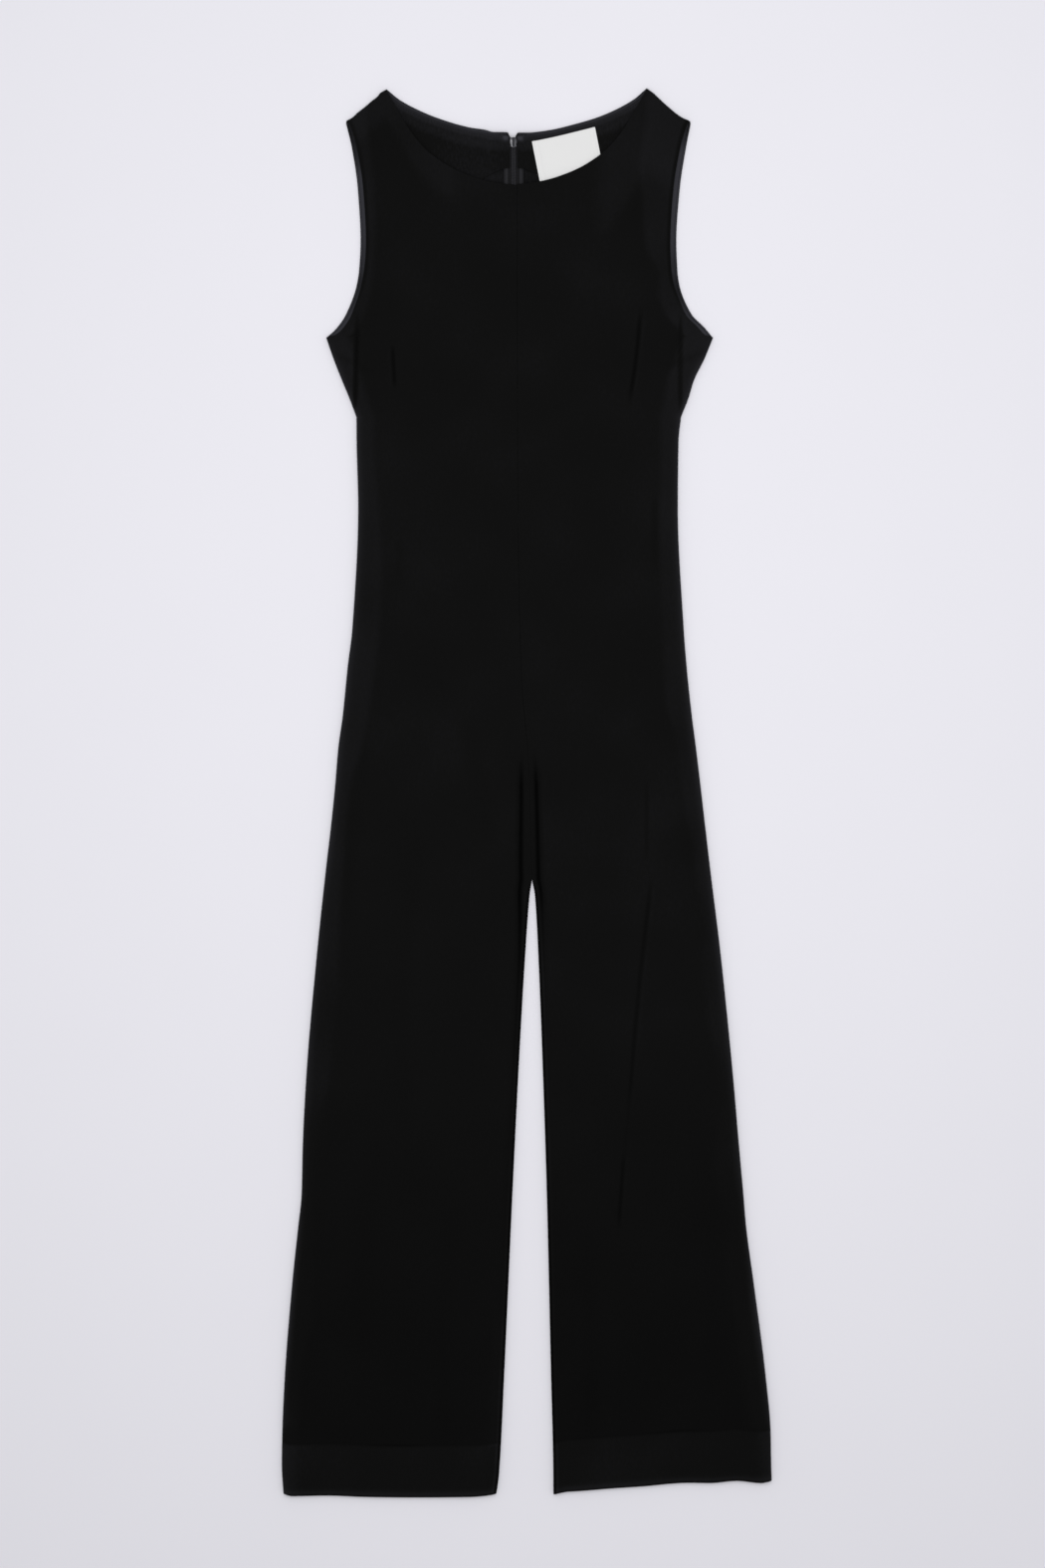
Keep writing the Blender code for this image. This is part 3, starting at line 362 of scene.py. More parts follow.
# How light the facing looks along the armhole
ARMHOLE_GLOW = {
    RIGHT: (
        (457.7, 1.2), (466.0, 1.1), (488.0, 0.75), (500.0, 0.6), (512.0, 0.42), (524.0, 0.62),
        (542.0, 0.82), (562.0, 0.95), (615.0, 1.05), (634.0, 0.6), (650.0, 0.35), (668.0, 0.15),
        (707.0, 0.1),
    ),
    LEFT: (
        (457.7, 1.2), (466.0, 1.0), (488.0, 0.6), (502.0, 0.25), (514.0, 0.35), (524.0, 0.55),
        (536.0, 0.65), (548.0, 0.88), (562.0, 0.95), (640.0, 1.05), (654.0, 0.65), (668.0, 0.3),
        (707.0, 0.2),
    ),
}

# How much darker the lower legs look, between these heights
LEG_SHADE, LEG_SHADE_Y = 0.32, (-640.0, -120.0)

# The right inner shin looks lighter: how much, below which heights, and how far in it reaches
SHIN_GLOW, SHIN_GLOW_Y, SHIN_GLOW_REACH = 0.2, (-545.0, -515.0), (9.0, 17.0)

# Slow waves that keep the laid cloth from being a plane: x and y of a wave's run in cycles per
# metre, its phase, and its height
WAVES = ((9.0, 2.1, 0.4, 0.16), (-5.0, 6.2, 1.9, 0.14), (14.0, -3.7, 4.1, 0.09), (3.1, 11.0, 5.2, 0.07))

# Zip in the centre-back seam
ZIP_LENGTH = 560.0
ZIP_TAPE = 9.8
ZIP_GAPS = ((648.0, SEAM_GAP / 2), (656.0, 1.1), (659.4, 3.3), (663.4, 4.6))
TAPE_LOW = 1.5
TAPE_WALL, TAPE_STITCH_IN = 0.8, 5.0
COIL_MIDDLE = 2.5
COIL_LOW_Y, COIL_TOP_Y = 103.0, 659.0
PIN_Y, PIN_Z = 657.2, 1.35
SLIDER_X, SLIDER_TOP_Y, SLIDER_LENGTH = -13.85, 657.8, 10.0
SLIDER_HIGH = 7.5
FLANGE, FLANGE_X, FLANGE_DOWN, FLANGE_Z = (0.8, 7.6, 1.5), 2.6, 0.4, 6.25
POST, POST_Z = (1.1, 2.0, 5.4), 3.95
EYE_RADIUS, EYE_BORE, EYE_HALF = 1.15, 0.65, 0.55
PIN_RADIUS, PIN_HALF = 0.4, 1.5
CHEEK_RADIUS, CHEEK_INNER, CHEEK_OUTER = 1.0, 0.85, 1.7
CHEEK_ARM, CHEEK_ARM_Z = (0.85, 3.35, 0.9), 0.55
PULL_START, PULL_LENGTH, PULL_WALL = 1.75, 24.0, 1.0
PULL_NECK_HALF, PULL_TIP_HALF = 1.7, 2.8
LIFT = 2.75
LIFT_FLAT_X, LIFT_END_X = 6.0, 48.0
LIFT_FLAT_Y, LIFT_END_Y = 646.0, 585.0

# Back facing: it follows the zip at this distance, and stops short of the edges that roll over it
FACING_LOW, FACING_WALL = 1.35, 1.0
FACING_OVER_TAPE, FACING_DOWN, FACING_STEP = 15.2, 22.0, 1.3
FACING_DEPTH = 32.0
FACING_ARCH = 160.0
FACING_FRONT = ((600.0, 4.3), (655.0, 4.3), (659.4, 4.4), (663.4, 5.4))
NECK_FOLD, NECK_STITCH_IN = 2.6, 2.0
KNOT_DOWN = 2.4
ARMHOLE_FOLD = 1.7

# Neck label: a plain rectangle, sewn beside the zip along the back neckline
LABEL_CORNER = (4.8, 654.1)
LABEL_WIDTH, LABEL_LENGTH, LABEL_TURN, LABEL_LEAN = 64.9, 48.0, 13.1, 11.2
LABEL_WALL, LABEL_FOLD, LABEL_STITCH_IN = 0.45, 6.0, 2.2

# Stage: the floor's half width and its gap under the cloth, the softbox and the camera, in metres
FLOOR_HALF, FLOOR_DOWN = 8.0, 0.0003
SOFTBOX_SIZE = (0.82, 2.3)
CAMERA_PLACE, CAMERA_LENS, CAMERA_FAR = (-0.00475, 0.00925, 3.72105), 85.0, 50.0


def linear(hex_colour):
    """An sRGB hex colour as linear red, green, blue and alpha."""
    parts = [int(hex_colour[n : n + 2], 16) / 255 for n in (1, 3, 5)]
    return (*[p / 12.92 if p <= 0.04045 else ((p + 0.055) / 1.055) ** 2.4 for p in parts], 1.0)


def mix(a, b, share):
    return a + (b - a) * share


def ease(value, start, end):
    """0 at start, 1 at end, and smooth between them."""
    share = np.clip((value - start) / (end - start), 0.0, 1.0)
    return share * share * (3.0 - 2.0 * share)


def round_off(share):
    """0 at share 0 and 1 at share 1, where it stands upright, as a quarter of a circle does."""
    return 1.0 - np.sqrt(1.0 - np.clip(share, 0.0, 1.0) ** 2)


def hump(distance, width):
    return np.exp(-2.0 * (distance / width) ** 2)


def through(knots, at):
    """The smooth curve through (position, value) knots, with no overshoot between them."""
    xs, ys = np.array(sorted(knots)).T
    slopes = np.diff(ys) / np.diff(xs)
    before, after = slopes[:-1], slopes[1:]
    bends = before * after > 0
    both = np.where(bends, before + after, 1.0)
    inner = np.where(bends, 2.0 * before * after / both, 0.0)
    tangents = np.concatenate(([slopes[0]], inner, [slopes[-1]]))
    at = np.clip(at, xs[0], xs[-1])
    i = np.clip(np.searchsorted(xs, at) - 1, 0, len(slopes) - 1)
    span = xs[i + 1] - xs[i]
    t = (at - xs[i]) / span
    return (
        ys[i] * (1 + 2 * t) * (1 - t) ** 2
        + tangents[i] * span * t * (1 - t) ** 2
        + ys[i + 1] * t * t * (3 - 2 * t)
        + tangents[i + 1] * span * t * t * (t - 1)
    )


def value_at(table, column, y):
    return through([(row.y, getattr(row, column)) for row in table], y)


def spaced(start, *stretches):
    """Positions from start on, in stretches of (end, pitch)."""
    spots = [start]
    for end, pitch in stretches:
        count = max(1, round(abs(end - spots[-1]) / pitch))
        spots += list(np.linspace(spots[-1], end, count + 1)[1:])
    return np.array(spots)


def outer_x(side, y):
    """The silhouette's outer line: side seam, pulled underarm and armhole."""
    low = value_at(SIDE_SEAM, NAMES[side], y)
    middle = value_at(UNDERARM_SIDE, NAMES[side], y)
    high = value_at(ARMHOLE, NAMES[side], y)
    return np.where(y > UNDERARM_Y, high, np.where(y > WIDE_AGAIN_Y, middle, low))


def inner_x(side, y, back):
    """The panel's inner line: inseam up to the crotch, then its centre seam."""
    leg = value_at(INSEAM, NAMES[side], y) + side * SEAM_GAP / 2
    if back:
        body = through(CENTRE_BACK, y) + side * through(ZIP_GAPS, y)
    else:
        body = through(CENTRE_FRONT, y) + side * SEAM_GAP / 2
    return np.where(y <= CROTCH_Y, leg, body)


def neckline_y(side, x, depth):
    """Height of a neckline at x, between its middle and the neck point."""
    reach = np.minimum(1.0, np.abs(x - NECK_MIDDLE) / abs(NECK_POINT[side][0] - NECK_MIDDLE))
    return NECK_POINT[side][1] - depth * (1.0 - through(NECK_RISES[side, depth], reach))


def top_y(side, x, depth):
    """Height of a panel's top edge at x: its neckline, then its shoulder seam."""
    neck, point = NECK_POINT[side], SHOULDER_POINT[side]
    along = (x - neck[0]) / (point[0] - neck[0])
    shoulder = mix(neck[1], point[1], along) - through(SHOULDER_DROPS[side], along)
    return np.where(along <= 0, neckline_y(side, x, depth), shoulder)


def below_top(side, x, y, depth):
    """How far a point lies inside the top edge, square to it, and its share of shoulder seam."""
    slope = top_y(side, x + 0.5, depth) - top_y(side, x - 0.5, depth)
    distance = (top_y(side, x, depth) - y) / np.sqrt(1.0 + slope**2)
    past = side * (x - NECK_POINT[side][0])
    return distance, ease(past, -1.0, 5.0)


def lift(x, y):
    """How far everything stands off the surface, over the zip's pull."""
    across = np.abs(x - through(CENTRE_BACK, y))
    return LIFT * (1 - ease(across, LIFT_FLAT_X, LIFT_END_X)) * ease(y, LIFT_END_Y, LIFT_FLAT_Y)


def from_zip(x, y):
    """How far a point lies from the back edge beside the zip."""
    return np.abs(x - through(CENTRE_BACK, y)) - through(ZIP_GAPS, y)


def facing_top(x, y):
    """Height of the facing's upper face, which steps up over the zip tape."""
    down = (from_zip(x, y) - FACING_OVER_TAPE) / (FACING_DOWN - FACING_OVER_TAPE)
    return FACING_LOW + FACING_WALL + FACING_STEP * (1 - np.clip(down, 0.0, 1.0)) + lift(x, y)


def folds(table, x, y):
    """The relief of some folds at each point, and their painted shade: darker in the valleys, lighter on
    the ridges.
    """
    relief, dark = np.zeros(x.shape), np.zeros(x.shape)
    for fold in table:
        run = np.array((fold.x1 - fold.x0, fold.y1 - fold.y0))
        length = np.hypot(*run)
        run = run / length
        out = np.array((-run[1], run[0]))
        if out[0] * fold.x0 < 0:
            out = -out
        dx, dy = x - fold.x0, y - fold.y0
        along = dx * run[0] + dy * run[1]
        bow = fold.bow * np.sin(math.pi * np.clip(along / length, 0.0, 1.0))
        across = (dx * out[0] + dy * out[1] - bow) / fold.width
        taper = min(FOLD_TAPER, length / 4)
        fade = ease(along, -taper, 0.4 * taper)
        fade = fade * (1 - ease(along, length - 0.4 * taper, length + taper))
        valley = np.exp(-2.0 * across**2)
        ridge = RIDGE_SHARE * np.exp(-((across - RIDGE_AT) ** 2))
        relief += fold.depth * fade * (ridge - valley)
        dark += fold.dark * fade * (valley - RIDGE_LIGHT * ridge)
    return relief, dark


def waves(x, y):
    total = np.zeros(x.shape)
    for run_x, run_y, phase, height in WAVES:
        total += height * np.sin(2 * math.pi * (run_x * x + run_y * y) * MM + phase)
    return total


# Rows of a panel from hem to shoulder: y at the inner and outer edge, the share of the way up the
# bodice, how closely it follows the hem line, and the rise over that line
Rows = namedtuple("Rows", "inner_y outer_y up hem rise")


def panel_wall(rows, wall, hem_wall):
    """Thickness of a panel's rows, which are double in the turned-up hem."""
    return mix(wall, hem_wall, 1 - ease(rows.rise, HEM_DEPTH - 3.0, HEM_DEPTH))


def panel_rows(side, depth, coarse=1.0):
    (_, inner_hem), *_, (_, outer_hem) = HEM_LINES[side]
    rise = spaced(HEM_ROUND, (4.0, 0.8 * coarse), (48.0, 2.8 * coarse), (57.0, 0.75 * coarse))
    top = rise[-1]
    blend = spaced(0.0, (1.0, coarse / 11))[1:]
    legs = spaced(
        ABOVE_HEM, (-112.0, 4.4 * coarse), (CROTCH_Y, 1.6 * coarse), (-60.0, 2.0 * coarse),
        (WIDE_AGAIN_Y, 4.4 * coarse), (UNDERARM_Y, 2.6 * coarse),
    )[1:]
    up = spaced(0.0, (0.1, 0.011 * coarse), (0.93, 0.0175 * coarse), (0.98, 0.006), (1.0, 0.0022))[1:]
    neck = neckline_y(side, NECK_MIDDLE, depth)
    flat = np.zeros
    return Rows(*[
        np.concatenate(parts)[:, None]
        for parts in (
            (inner_hem + rise, mix(inner_hem + top, ABOVE_HEM, blend), legs, mix(UNDERARM_Y, neck, up)),
            (
                outer_hem + rise, mix(outer_hem + top, ABOVE_HEM, blend), legs,
                mix(UNDERARM_Y, SHOULDER_Y, up),
            ),
            (flat(len(rise) + len(blend) + len(legs)), up),
            (np.ones(len(rise)), 1 - blend, flat(len(legs) + len(up))),
            (rise, mix(top, FAR_ABOVE_HEM, blend), np.full(len(legs) + len(up), FAR_ABOVE_HEM)),
        )
    ])


def place(side, rows, share, inner, outer, depth, under=0.0):
    """x and y of the points of the rows that lie these shares of the way from inner to outer. The
    last row lies this far under the top edge."""
    x = mix(inner, outer, share)
    line = HEM_LINES[side]
    y = mix(rows.inner_y, rows.outer_y, share)
    y = y + rows.hem * (through(line, share) - mix(line[0][1], line[-1][1], share))
    chord = mix(rows.inner_y[-1], rows.outer_y[-1], share)
    top = top_y(side, mix(inner[-1], outer[-1], share), depth) - under
    return x, y + rows.up**TOP_BLEND * (top - chord)


def in_stretches(stops, counts):
    """Points of each row from one stop to the next, in stretches of that many steps."""
    parts = [
        mix(a, b, np.linspace(0.0, 1.0, count + 1)[1:]) for a, b, count in zip(stops, stops[1:], counts)
    ]
    return np.concatenate(parts, axis=1)


def front_height(side, x, y):
    """Height of the front's outer face away from its rolled edges, and its painted light and shade."""
    level = through(FRONT_LEVEL, y)
    shoulder = top_y(side, x, FRONT_NECK_DEPTH) - y
    near_neck = ease(side * (NECK_POINT[side][0] - x), 0.0, SHOULDER_SLOPE)
    sloped = mix(SHOULDER_LEVEL, level, ease(shoulder, 0.0, SHOULDER_SLOPE))
    level = mix(sloped, level, near_neck)
    from_edge = side * (outer_x(side, y) - x)
    puff = value_at(OUTER_ROLLS, "puff", y) * (1 - ease(from_edge, PUFF_START, PUFF_WIDTH))
    relief, dark = folds(FRONT_FOLDS, x, y)
    calm = ease(from_edge, 2.0, 20.0) * ease(np.abs(x - inner_x(side, y, False)), 2.0, 14.0)
    fold, band, reach = (value_at(PAINTED_EDGE_SHEEN[side], part, y) for part in ("fold", "band", "reach"))
    # Painted light and shade: sheen on the rolled outer edge and a band inside it, shade in the fold
    # valleys, shade down the lower legs, light below the shoulder seam
    light = fold * np.exp(-np.maximum(from_edge, 0.0) / FOLD_FADE) - dark
    light += band * (1 - ease(from_edge, reach - BAND_FADE, reach + BAND_FADE))
    light -= LEG_SHADE * (1 - ease(y, *LEG_SHADE_Y))
    light += 0.12 * (1 - ease(shoulder, *SHOULDER_GLOW[side])) * ease(side * x, 60.0, 85.0)
    return level + puff + relief + calm * waves(x, y), light


def front_grid(side):
    """The front's outer face from hem to shoulder, and the painted light and shade at each point."""
    rows = panel_rows(side, FRONT_NECK_DEPTH)
    inner = inner_x(side, rows.inner_y, back=False)
    inset = np.where(rows.up > 0, value_at(ARMHOLE_INSETS, NAMES[side], rows.outer_y), 0.0)
    outer = outer_x(side, rows.outer_y) - side * inset
    width = np.abs(outer - inner)
    fold = np.abs(through(FOLD_LINES[side], mix(rows.inner_y, rows.outer_y, FOLD_LEAN)) - inner)
    fold = mix(fold, np.abs(NECK_POINT[side][0] - inner), ease(rows.up, 0.7, 1.0))
    crease = value_at(CROTCH_CREASES, NAMES[side], rows.inner_y)
    split = ease(CROTCH_Y - rows.inner_y, 0.0, SPLIT_LENGTH)
    inner_roll = mix(SEAM_ROLL, value_at(INNER_ROLLS, "roll", rows.inner_y), split)
    outer_roll = value_at(OUTER_ROLLS, "roll", rows.outer_y)

    # Across a row: the inner edge's roll, the flat cloth and the outer edge's roll
    inner_end = np.radians(mix(SEAM_END, value_at(INNER_ROLLS, "end", rows.inner_y), split))
    outer_end = np.radians(value_at(OUTER_ROLLS, "end", rows.outer_y))
    inner_turn = mix(math.pi / 2, inner_end, np.linspace(1.0, 0.0, 7))
    outer_turn = mix(math.pi / 2, outer_end, np.linspace(0.0, 1.0, 10)[1:])
    last = width - outer_roll
    stops = (
        inner_roll, crease - CREASE_REACH, crease + CREASE_REACH, fold - FOLD_SIDE, fold + FOLD_SIDE,
        last,
    )
    reach = np.concatenate((
        inner_roll * (1 - np.cos(inner_turn) / np.cos(np.maximum(0.0, inner_end))),
        in_stretches(stops, (4, 8, 24, 16, 24)),
        last + outer_roll * np.cos(outer_turn) / np.cos(np.maximum(0.0, outer_end)),
    ), axis=1)

    x, y = place(side, rows, reach / width, inner, outer, FRONT_NECK_DEPTH)
    z, light = front_height(side, x, y)
    raised = lift(x, y)
    drop = value_at(CROTCH_CREASES, "drop", rows.inner_y)
    z = z + raised - drop * (1 - ease(reach, crease - CREASE_HALF, crease + CREASE_HALF))
    # The crease is a groove, and its line also gets painted shade. Below the crotch the inner edge gets
    # painted shade, with a little painted light just inside it.
    dark = value_at(CROTCH_CREASES, f"dark_{NAMES[side]}", rows.inner_y)
    z = z - 0.9 * dark * hump(reach - crease, 2.0)
    light -= dark * (1.1 * hump(reach - crease, 3.2) + 0.14 * (1 - ease(reach, crease - 2.0, crease)))
    light -= split * (0.75 * (1 - ease(reach, 1.6, 3.2)) - 0.2 * hump(reach - 3.8, 2.0))
    if side == RIGHT:
        shin = (1 - ease(rows.inner_y, *SHIN_GLOW_Y)) * ease(rows.rise, HEM_DEPTH - 4.0, HEM_DEPTH)
        light += SHIN_GLOW * shin * (1 - ease(reach, *SHIN_GLOW_REACH))

    # The hem: a shallow step where it is turned up and sewn, with painted shade along it, and the band
    # below it a little proud, with painted light on it and a painted highlight near its bottom edge
    over = rows.rise - HEM_DEPTH
    z = z - 0.28 * hump(over, 1.3) + 0.12 * (1 - ease(over, -1.0, 1.0))
    hem_step_shade = 0.12 + 0.35 * sum(hump(x - spot, 34.0) for spot in HEM_SHADE_SPOTS)
    light += HEM_GLOW[side] * (1 - ease(over, -2.0, 2.0)) - hem_step_shade * hump(over, 2.0)
    light += 0.28 * hump(rows.rise - 3.8, 3.4)

    # The rolled edges
    n = inner_turn.shape[1]
    top = z[:, n - 1 : n]
    depth = through(SEAM_DEPTHS, rows.inner_y)
    low = mix(top - depth, value_at(INNER_ROLLS, "land", rows.inner_y), split)
    z[:, :n] = top - (top - low) * (1 - np.sin(inner_turn)) / (1 - np.sin(inner_end))
    n = outer_turn.shape[1]
    top = z[:, -n - 1 : -n]
    low = value_at(OUTER_ROLLS, "land", rows.outer_y) + raised[:, -n - 1 : -n]
    z[:, -n:] = top - (top - low) * (1 - np.sin(outer_turn)) / (1 - np.sin(outer_end))

    # The neckline's folded edge with its seam's ridge, and the shoulder that comes down to its seam
    inside, shoulder = below_top(side, x, y, FRONT_NECK_DEPTH)
    neck = 0.22 * (1 - ease(inside, 7.0, 9.5)) - 0.2 * hump(inside - 3.2, 0.9)
    neck -= 0.55 * round_off(1 - inside / 1.5)
    z = z + (1 - shoulder) * neck * (rows.up > 0)
    z = z - shoulder * (z - SHOULDER_SEAM_Z) * round_off(1 - inside / SHOULDER_ROLL) * (rows.up > 0)
    # Painted shade just inside the armhole edge
    light -= ARMHOLE_PAINTED_SHADE[side] * hump(width - reach - 1.4, 2.4) * ease(rows.up, 0.1, 0.3)
    return np.stack((x, y, z), axis=-1), light, rows, shoulder


def back_grid(side, wall, hem_wall):
    """The back's outer face, which lies on the surface, its painted light and shade and its thickness."""
    rows = panel_rows(side, BACK_NECK_DEPTH, coarse=1.25)
    split = ease(CROTCH_Y - rows.inner_y, 0.0, SPLIT_LENGTH)
    sewn_shut = (1 - split) * (1 - ease(rows.inner_y, *SEWN_SHUT_Y))
    inner = inner_x(side, rows.inner_y, back=True) - side * SEAM_GAP / 2 * sewn_shut
    outer = outer_x(side, rows.outer_y) - side * BACK_INSET
    width = np.abs(outer - inner)
    neck = np.abs(NECK_POINT[side][0] - inner)
    curl = mix(BACK_SEAM_ROLL, CURL_WIDTH, split)
    turn = np.linspace(math.pi / 2, 0.0, 7)
    last = width - CURL_WIDTH
    stops = (curl, 0.5 * (curl + 22.0), 48.0 + 0 * curl, neck, last)
    reach = np.concatenate((
        curl * (1 - np.sin(turn)),
        in_stretches(stops, (6, 12, 28, 14)),
        last + CURL_WIDTH * np.sin(turn[::-1][1:]),
    ), axis=1)
    x, y = place(side, rows, reach / width, inner, outer, BACK_NECK_DEPTH)
    raised = lift(x, y)
    relief, dark = folds(BACK_FOLDS, x, y)
    z = raised + np.maximum(0.0, -relief)
    # Painted shade in the folds' valleys, and painted light on their ridges
    light = -dark

    # Seams: the edges turn up to meet the front, and in at the centre seam
    bend = mix(BACK_SEAM_BEND, 1.0, split)
    turned_in = round_off(bend * (1 - reach / curl)) / round_off(bend)
    z = z + mix(BACK_SEAM_DEPTH, CURL_HEIGHT, split) * turned_in
    seamed = 1 - ease(rows.outer_y, *SEAMED_Y)
    z = z + CURL_HEIGHT * seamed * round_off(1 - (width - reach) / CURL_WIDTH)
    z = z + 0.25 * hump(rows.rise - HEM_DEPTH, 1.3)
    inside, shoulder = below_top(side, x, y, BACK_NECK_DEPTH)
    z = z + 2.0 * shoulder * round_off(1 - inside / SHOULDER_ROLL) * (rows.up > 0)

    # The hem and the turned edges of neck and armhole are thicker
    turned = np.maximum(
        (1 - ease(inside, NECK_FOLD - 0.5, NECK_FOLD)) * (1 - shoulder) * (rows.up > 0),
        (1 - ease(width - reach, ARMHOLE_FOLD - 0.5, ARMHOLE_FOLD)) * ease(rows.up, 0.0, 0.05),
    )
    thick = panel_wall(rows, wall, hem_wall) + 1.1 * turned
    # The inside face's tone: a little lighter all over, with painted light on the turned neck edge and the
    # armhole glow along the armhole
    by_armhole = (1 - ease(width - reach, ARMHOLE_FOLD, ARMHOLE_FOLD + 1.5)) * (rows.up > 0)
    inside_light = 0.05 + 0.6 * turned * (1 - by_armhole) + through(ARMHOLE_GLOW[side], y) * by_armhole
    return np.stack((x, y, z), axis=-1), light, thick, rows, shoulder, inside_light


def facing_grid(side):
    """The facing's upper face, from its lower edge to the neckline, and its painted light and shade."""
    up = spaced(0.0, (0.12, 0.02), (0.9, 0.026), (1.0, 0.012))[:, None]
    neck = neckline_y(side, NECK_MIDDLE, BACK_NECK_DEPTH) - NECK_FOLD
    flat = 0 * up
    rows = Rows(
        mix(neck - FACING_DEPTH, neck, up), mix(UNDERARM_Y, SHOULDER_Y - NECK_FOLD, up), up, flat, flat
    )
    inner = through(CENTRE_BACK, rows.inner_y) + side * through(FACING_FRONT, rows.inner_y)
    inset = BACK_INSET + ARMHOLE_FOLD + 1.4 * (1 - up) ** 6
    outer = outer_x(side, rows.outer_y) - side * inset
    width = np.abs(outer - inner)
    neck = np.abs(NECK_POINT[side][0] - inner)
    stops = (0 * width, 0 * width + 10.0, 0 * width + 20.0, neck, width - 6.0, width)
    reach = np.concatenate((0 * width, in_stretches(stops, (12, 8, 26, 10, 8))), axis=1)
    share = reach / width
    x, y = place(side, rows, share, inner, outer, BACK_NECK_DEPTH, NECK_FOLD)
    y = y - FACING_ARCH * (1 - up) ** 2 * (ease(share, 0.0, 1.0) - share)
    slope = top_y(side, x + 0.5, BACK_NECK_DEPTH) - top_y(side, x - 0.5, BACK_NECK_DEPTH)
    y = y - NECK_FOLD * (np.sqrt(1 + slope**2) - 1) * up**4
    z = facing_top(x, y)

    # The turned edge beside the zip and the knot of cloth at its top, then the edges' stitching
    turned = (1 - ease(reach, 5.0, 7.0)) * 0.35
    above_knot = rows.inner_y - rows.inner_y[-1] + KNOT_DOWN
    knot = hump(np.hypot(0.8 * (reach - 3.0), above_knot), 3.2)
    z = z + turned - 0.15 * hump(reach - 1.6, 0.8) + 0.9 * knot
    inside, _ = below_top(side, x, y, BACK_NECK_DEPTH)
    z = z - 0.18 * hump(inside - NECK_FOLD - NECK_STITCH_IN, 0.8)
    # Painted light: a highlight on the knot, light near the neckline and the armhole glow; painted shade
    # along the fold's edge beside the zip
    light = 0.9 * knot + 0.28 * (1 - ease(inside, 3.0, 9.0)) + 0.12 * (1 - ease(inside, 14.0, 20.0))
    light = light - 0.3 * hump(inside - NECK_FOLD, 0.9) * (1 - ease(reach, 2.0, 8.0))
    light = light + through(ARMHOLE_GLOW[side], y) * (1 - ease(width - reach, 4.5, 10.0))
    return np.stack((x, y, z), axis=-1), light, inside


def tape_grid(side):
    """The zip tape's upper face, from its lower end to the neckline."""
    top = neckline_y(side, NECK_MIDDLE, BACK_NECK_DEPTH) - 0.8
    y = spaced(top - ZIP_LENGTH, (600.0, 5.0), (top, 1.6))[:, None]
    across = spaced(0.0, (5.0, 1.0), (ZIP_TAPE, 0.3))
    x = through(CENTRE_BACK, y) + side * (through(ZIP_GAPS, y) + 0.05 + across)
    y = y + 0 * across
    rib = hump(across - 7.0, 2.3)
    z = TAPE_LOW + TAPE_WALL + lift(x, y) + 0.3 * rib - 0.2 * hump(across - 4.5, 0.9) + 0 * y
    # Painted highlight on the corded rib, and painted shade beside the facing's edge
    light = 0.4 * rib - 0.2 * hump(across - 4.4, 0.9) + 0 * y
    return np.stack((x, y, z), axis=-1), light


def label_grid():
    """The label's upper face, turned to lie along the neckline, its painted shade along the edges, and
    how far across it each point lies."""
    across = spaced(0.0, (LABEL_FOLD + 1.0, 0.7), (LABEL_WIDTH - LABEL_FOLD - 1.0, 1.9), (LABEL_WIDTH, 0.7))
    down = spaced(0.0, (LABEL_LENGTH, 1.6))[:, None]
    turn, lean = math.radians(LABEL_TURN), math.radians(LABEL_LEAN)
    sway = 0.25 * np.sin(across / 15.0)
    x = LABEL_CORNER[0] + across * math.cos(turn) + (down + sway) * math.sin(lean)
    y = LABEL_CORNER[1] + across * math.sin(turn) - (down + sway) * math.cos(lean)
    edge = np.minimum(across, LABEL_WIDTH - across)
    doubled = 0.3 * (1 - ease(edge, LABEL_FOLD - 0.8, LABEL_FOLD + 0.8))
    bow = 0.25 * np.sin(math.pi * across / LABEL_WIDTH) * np.sin(math.pi * down / LABEL_LENGTH)
    z = facing_top(x, y) + 0.12 + LABEL_WALL + doubled + bow + 0.05 * np.sin(across / 4.0 + down / 9.0)
    z = z - 0.12 * hump(edge - LABEL_STITCH_IN, 0.8)
    # Painted shade along the label's ends and top edge
    light = 0.0 * z - 0.25 * (1 - ease(np.minimum(edge, down), 0.0, 1.2))
    return np.stack((x, y, z), axis=-1), light, across + 0 * down


def new_object(name, data):
    made = bpy.data.objects.new(name, data)
    bpy.context.scene.collection.objects.link(made)
    return made


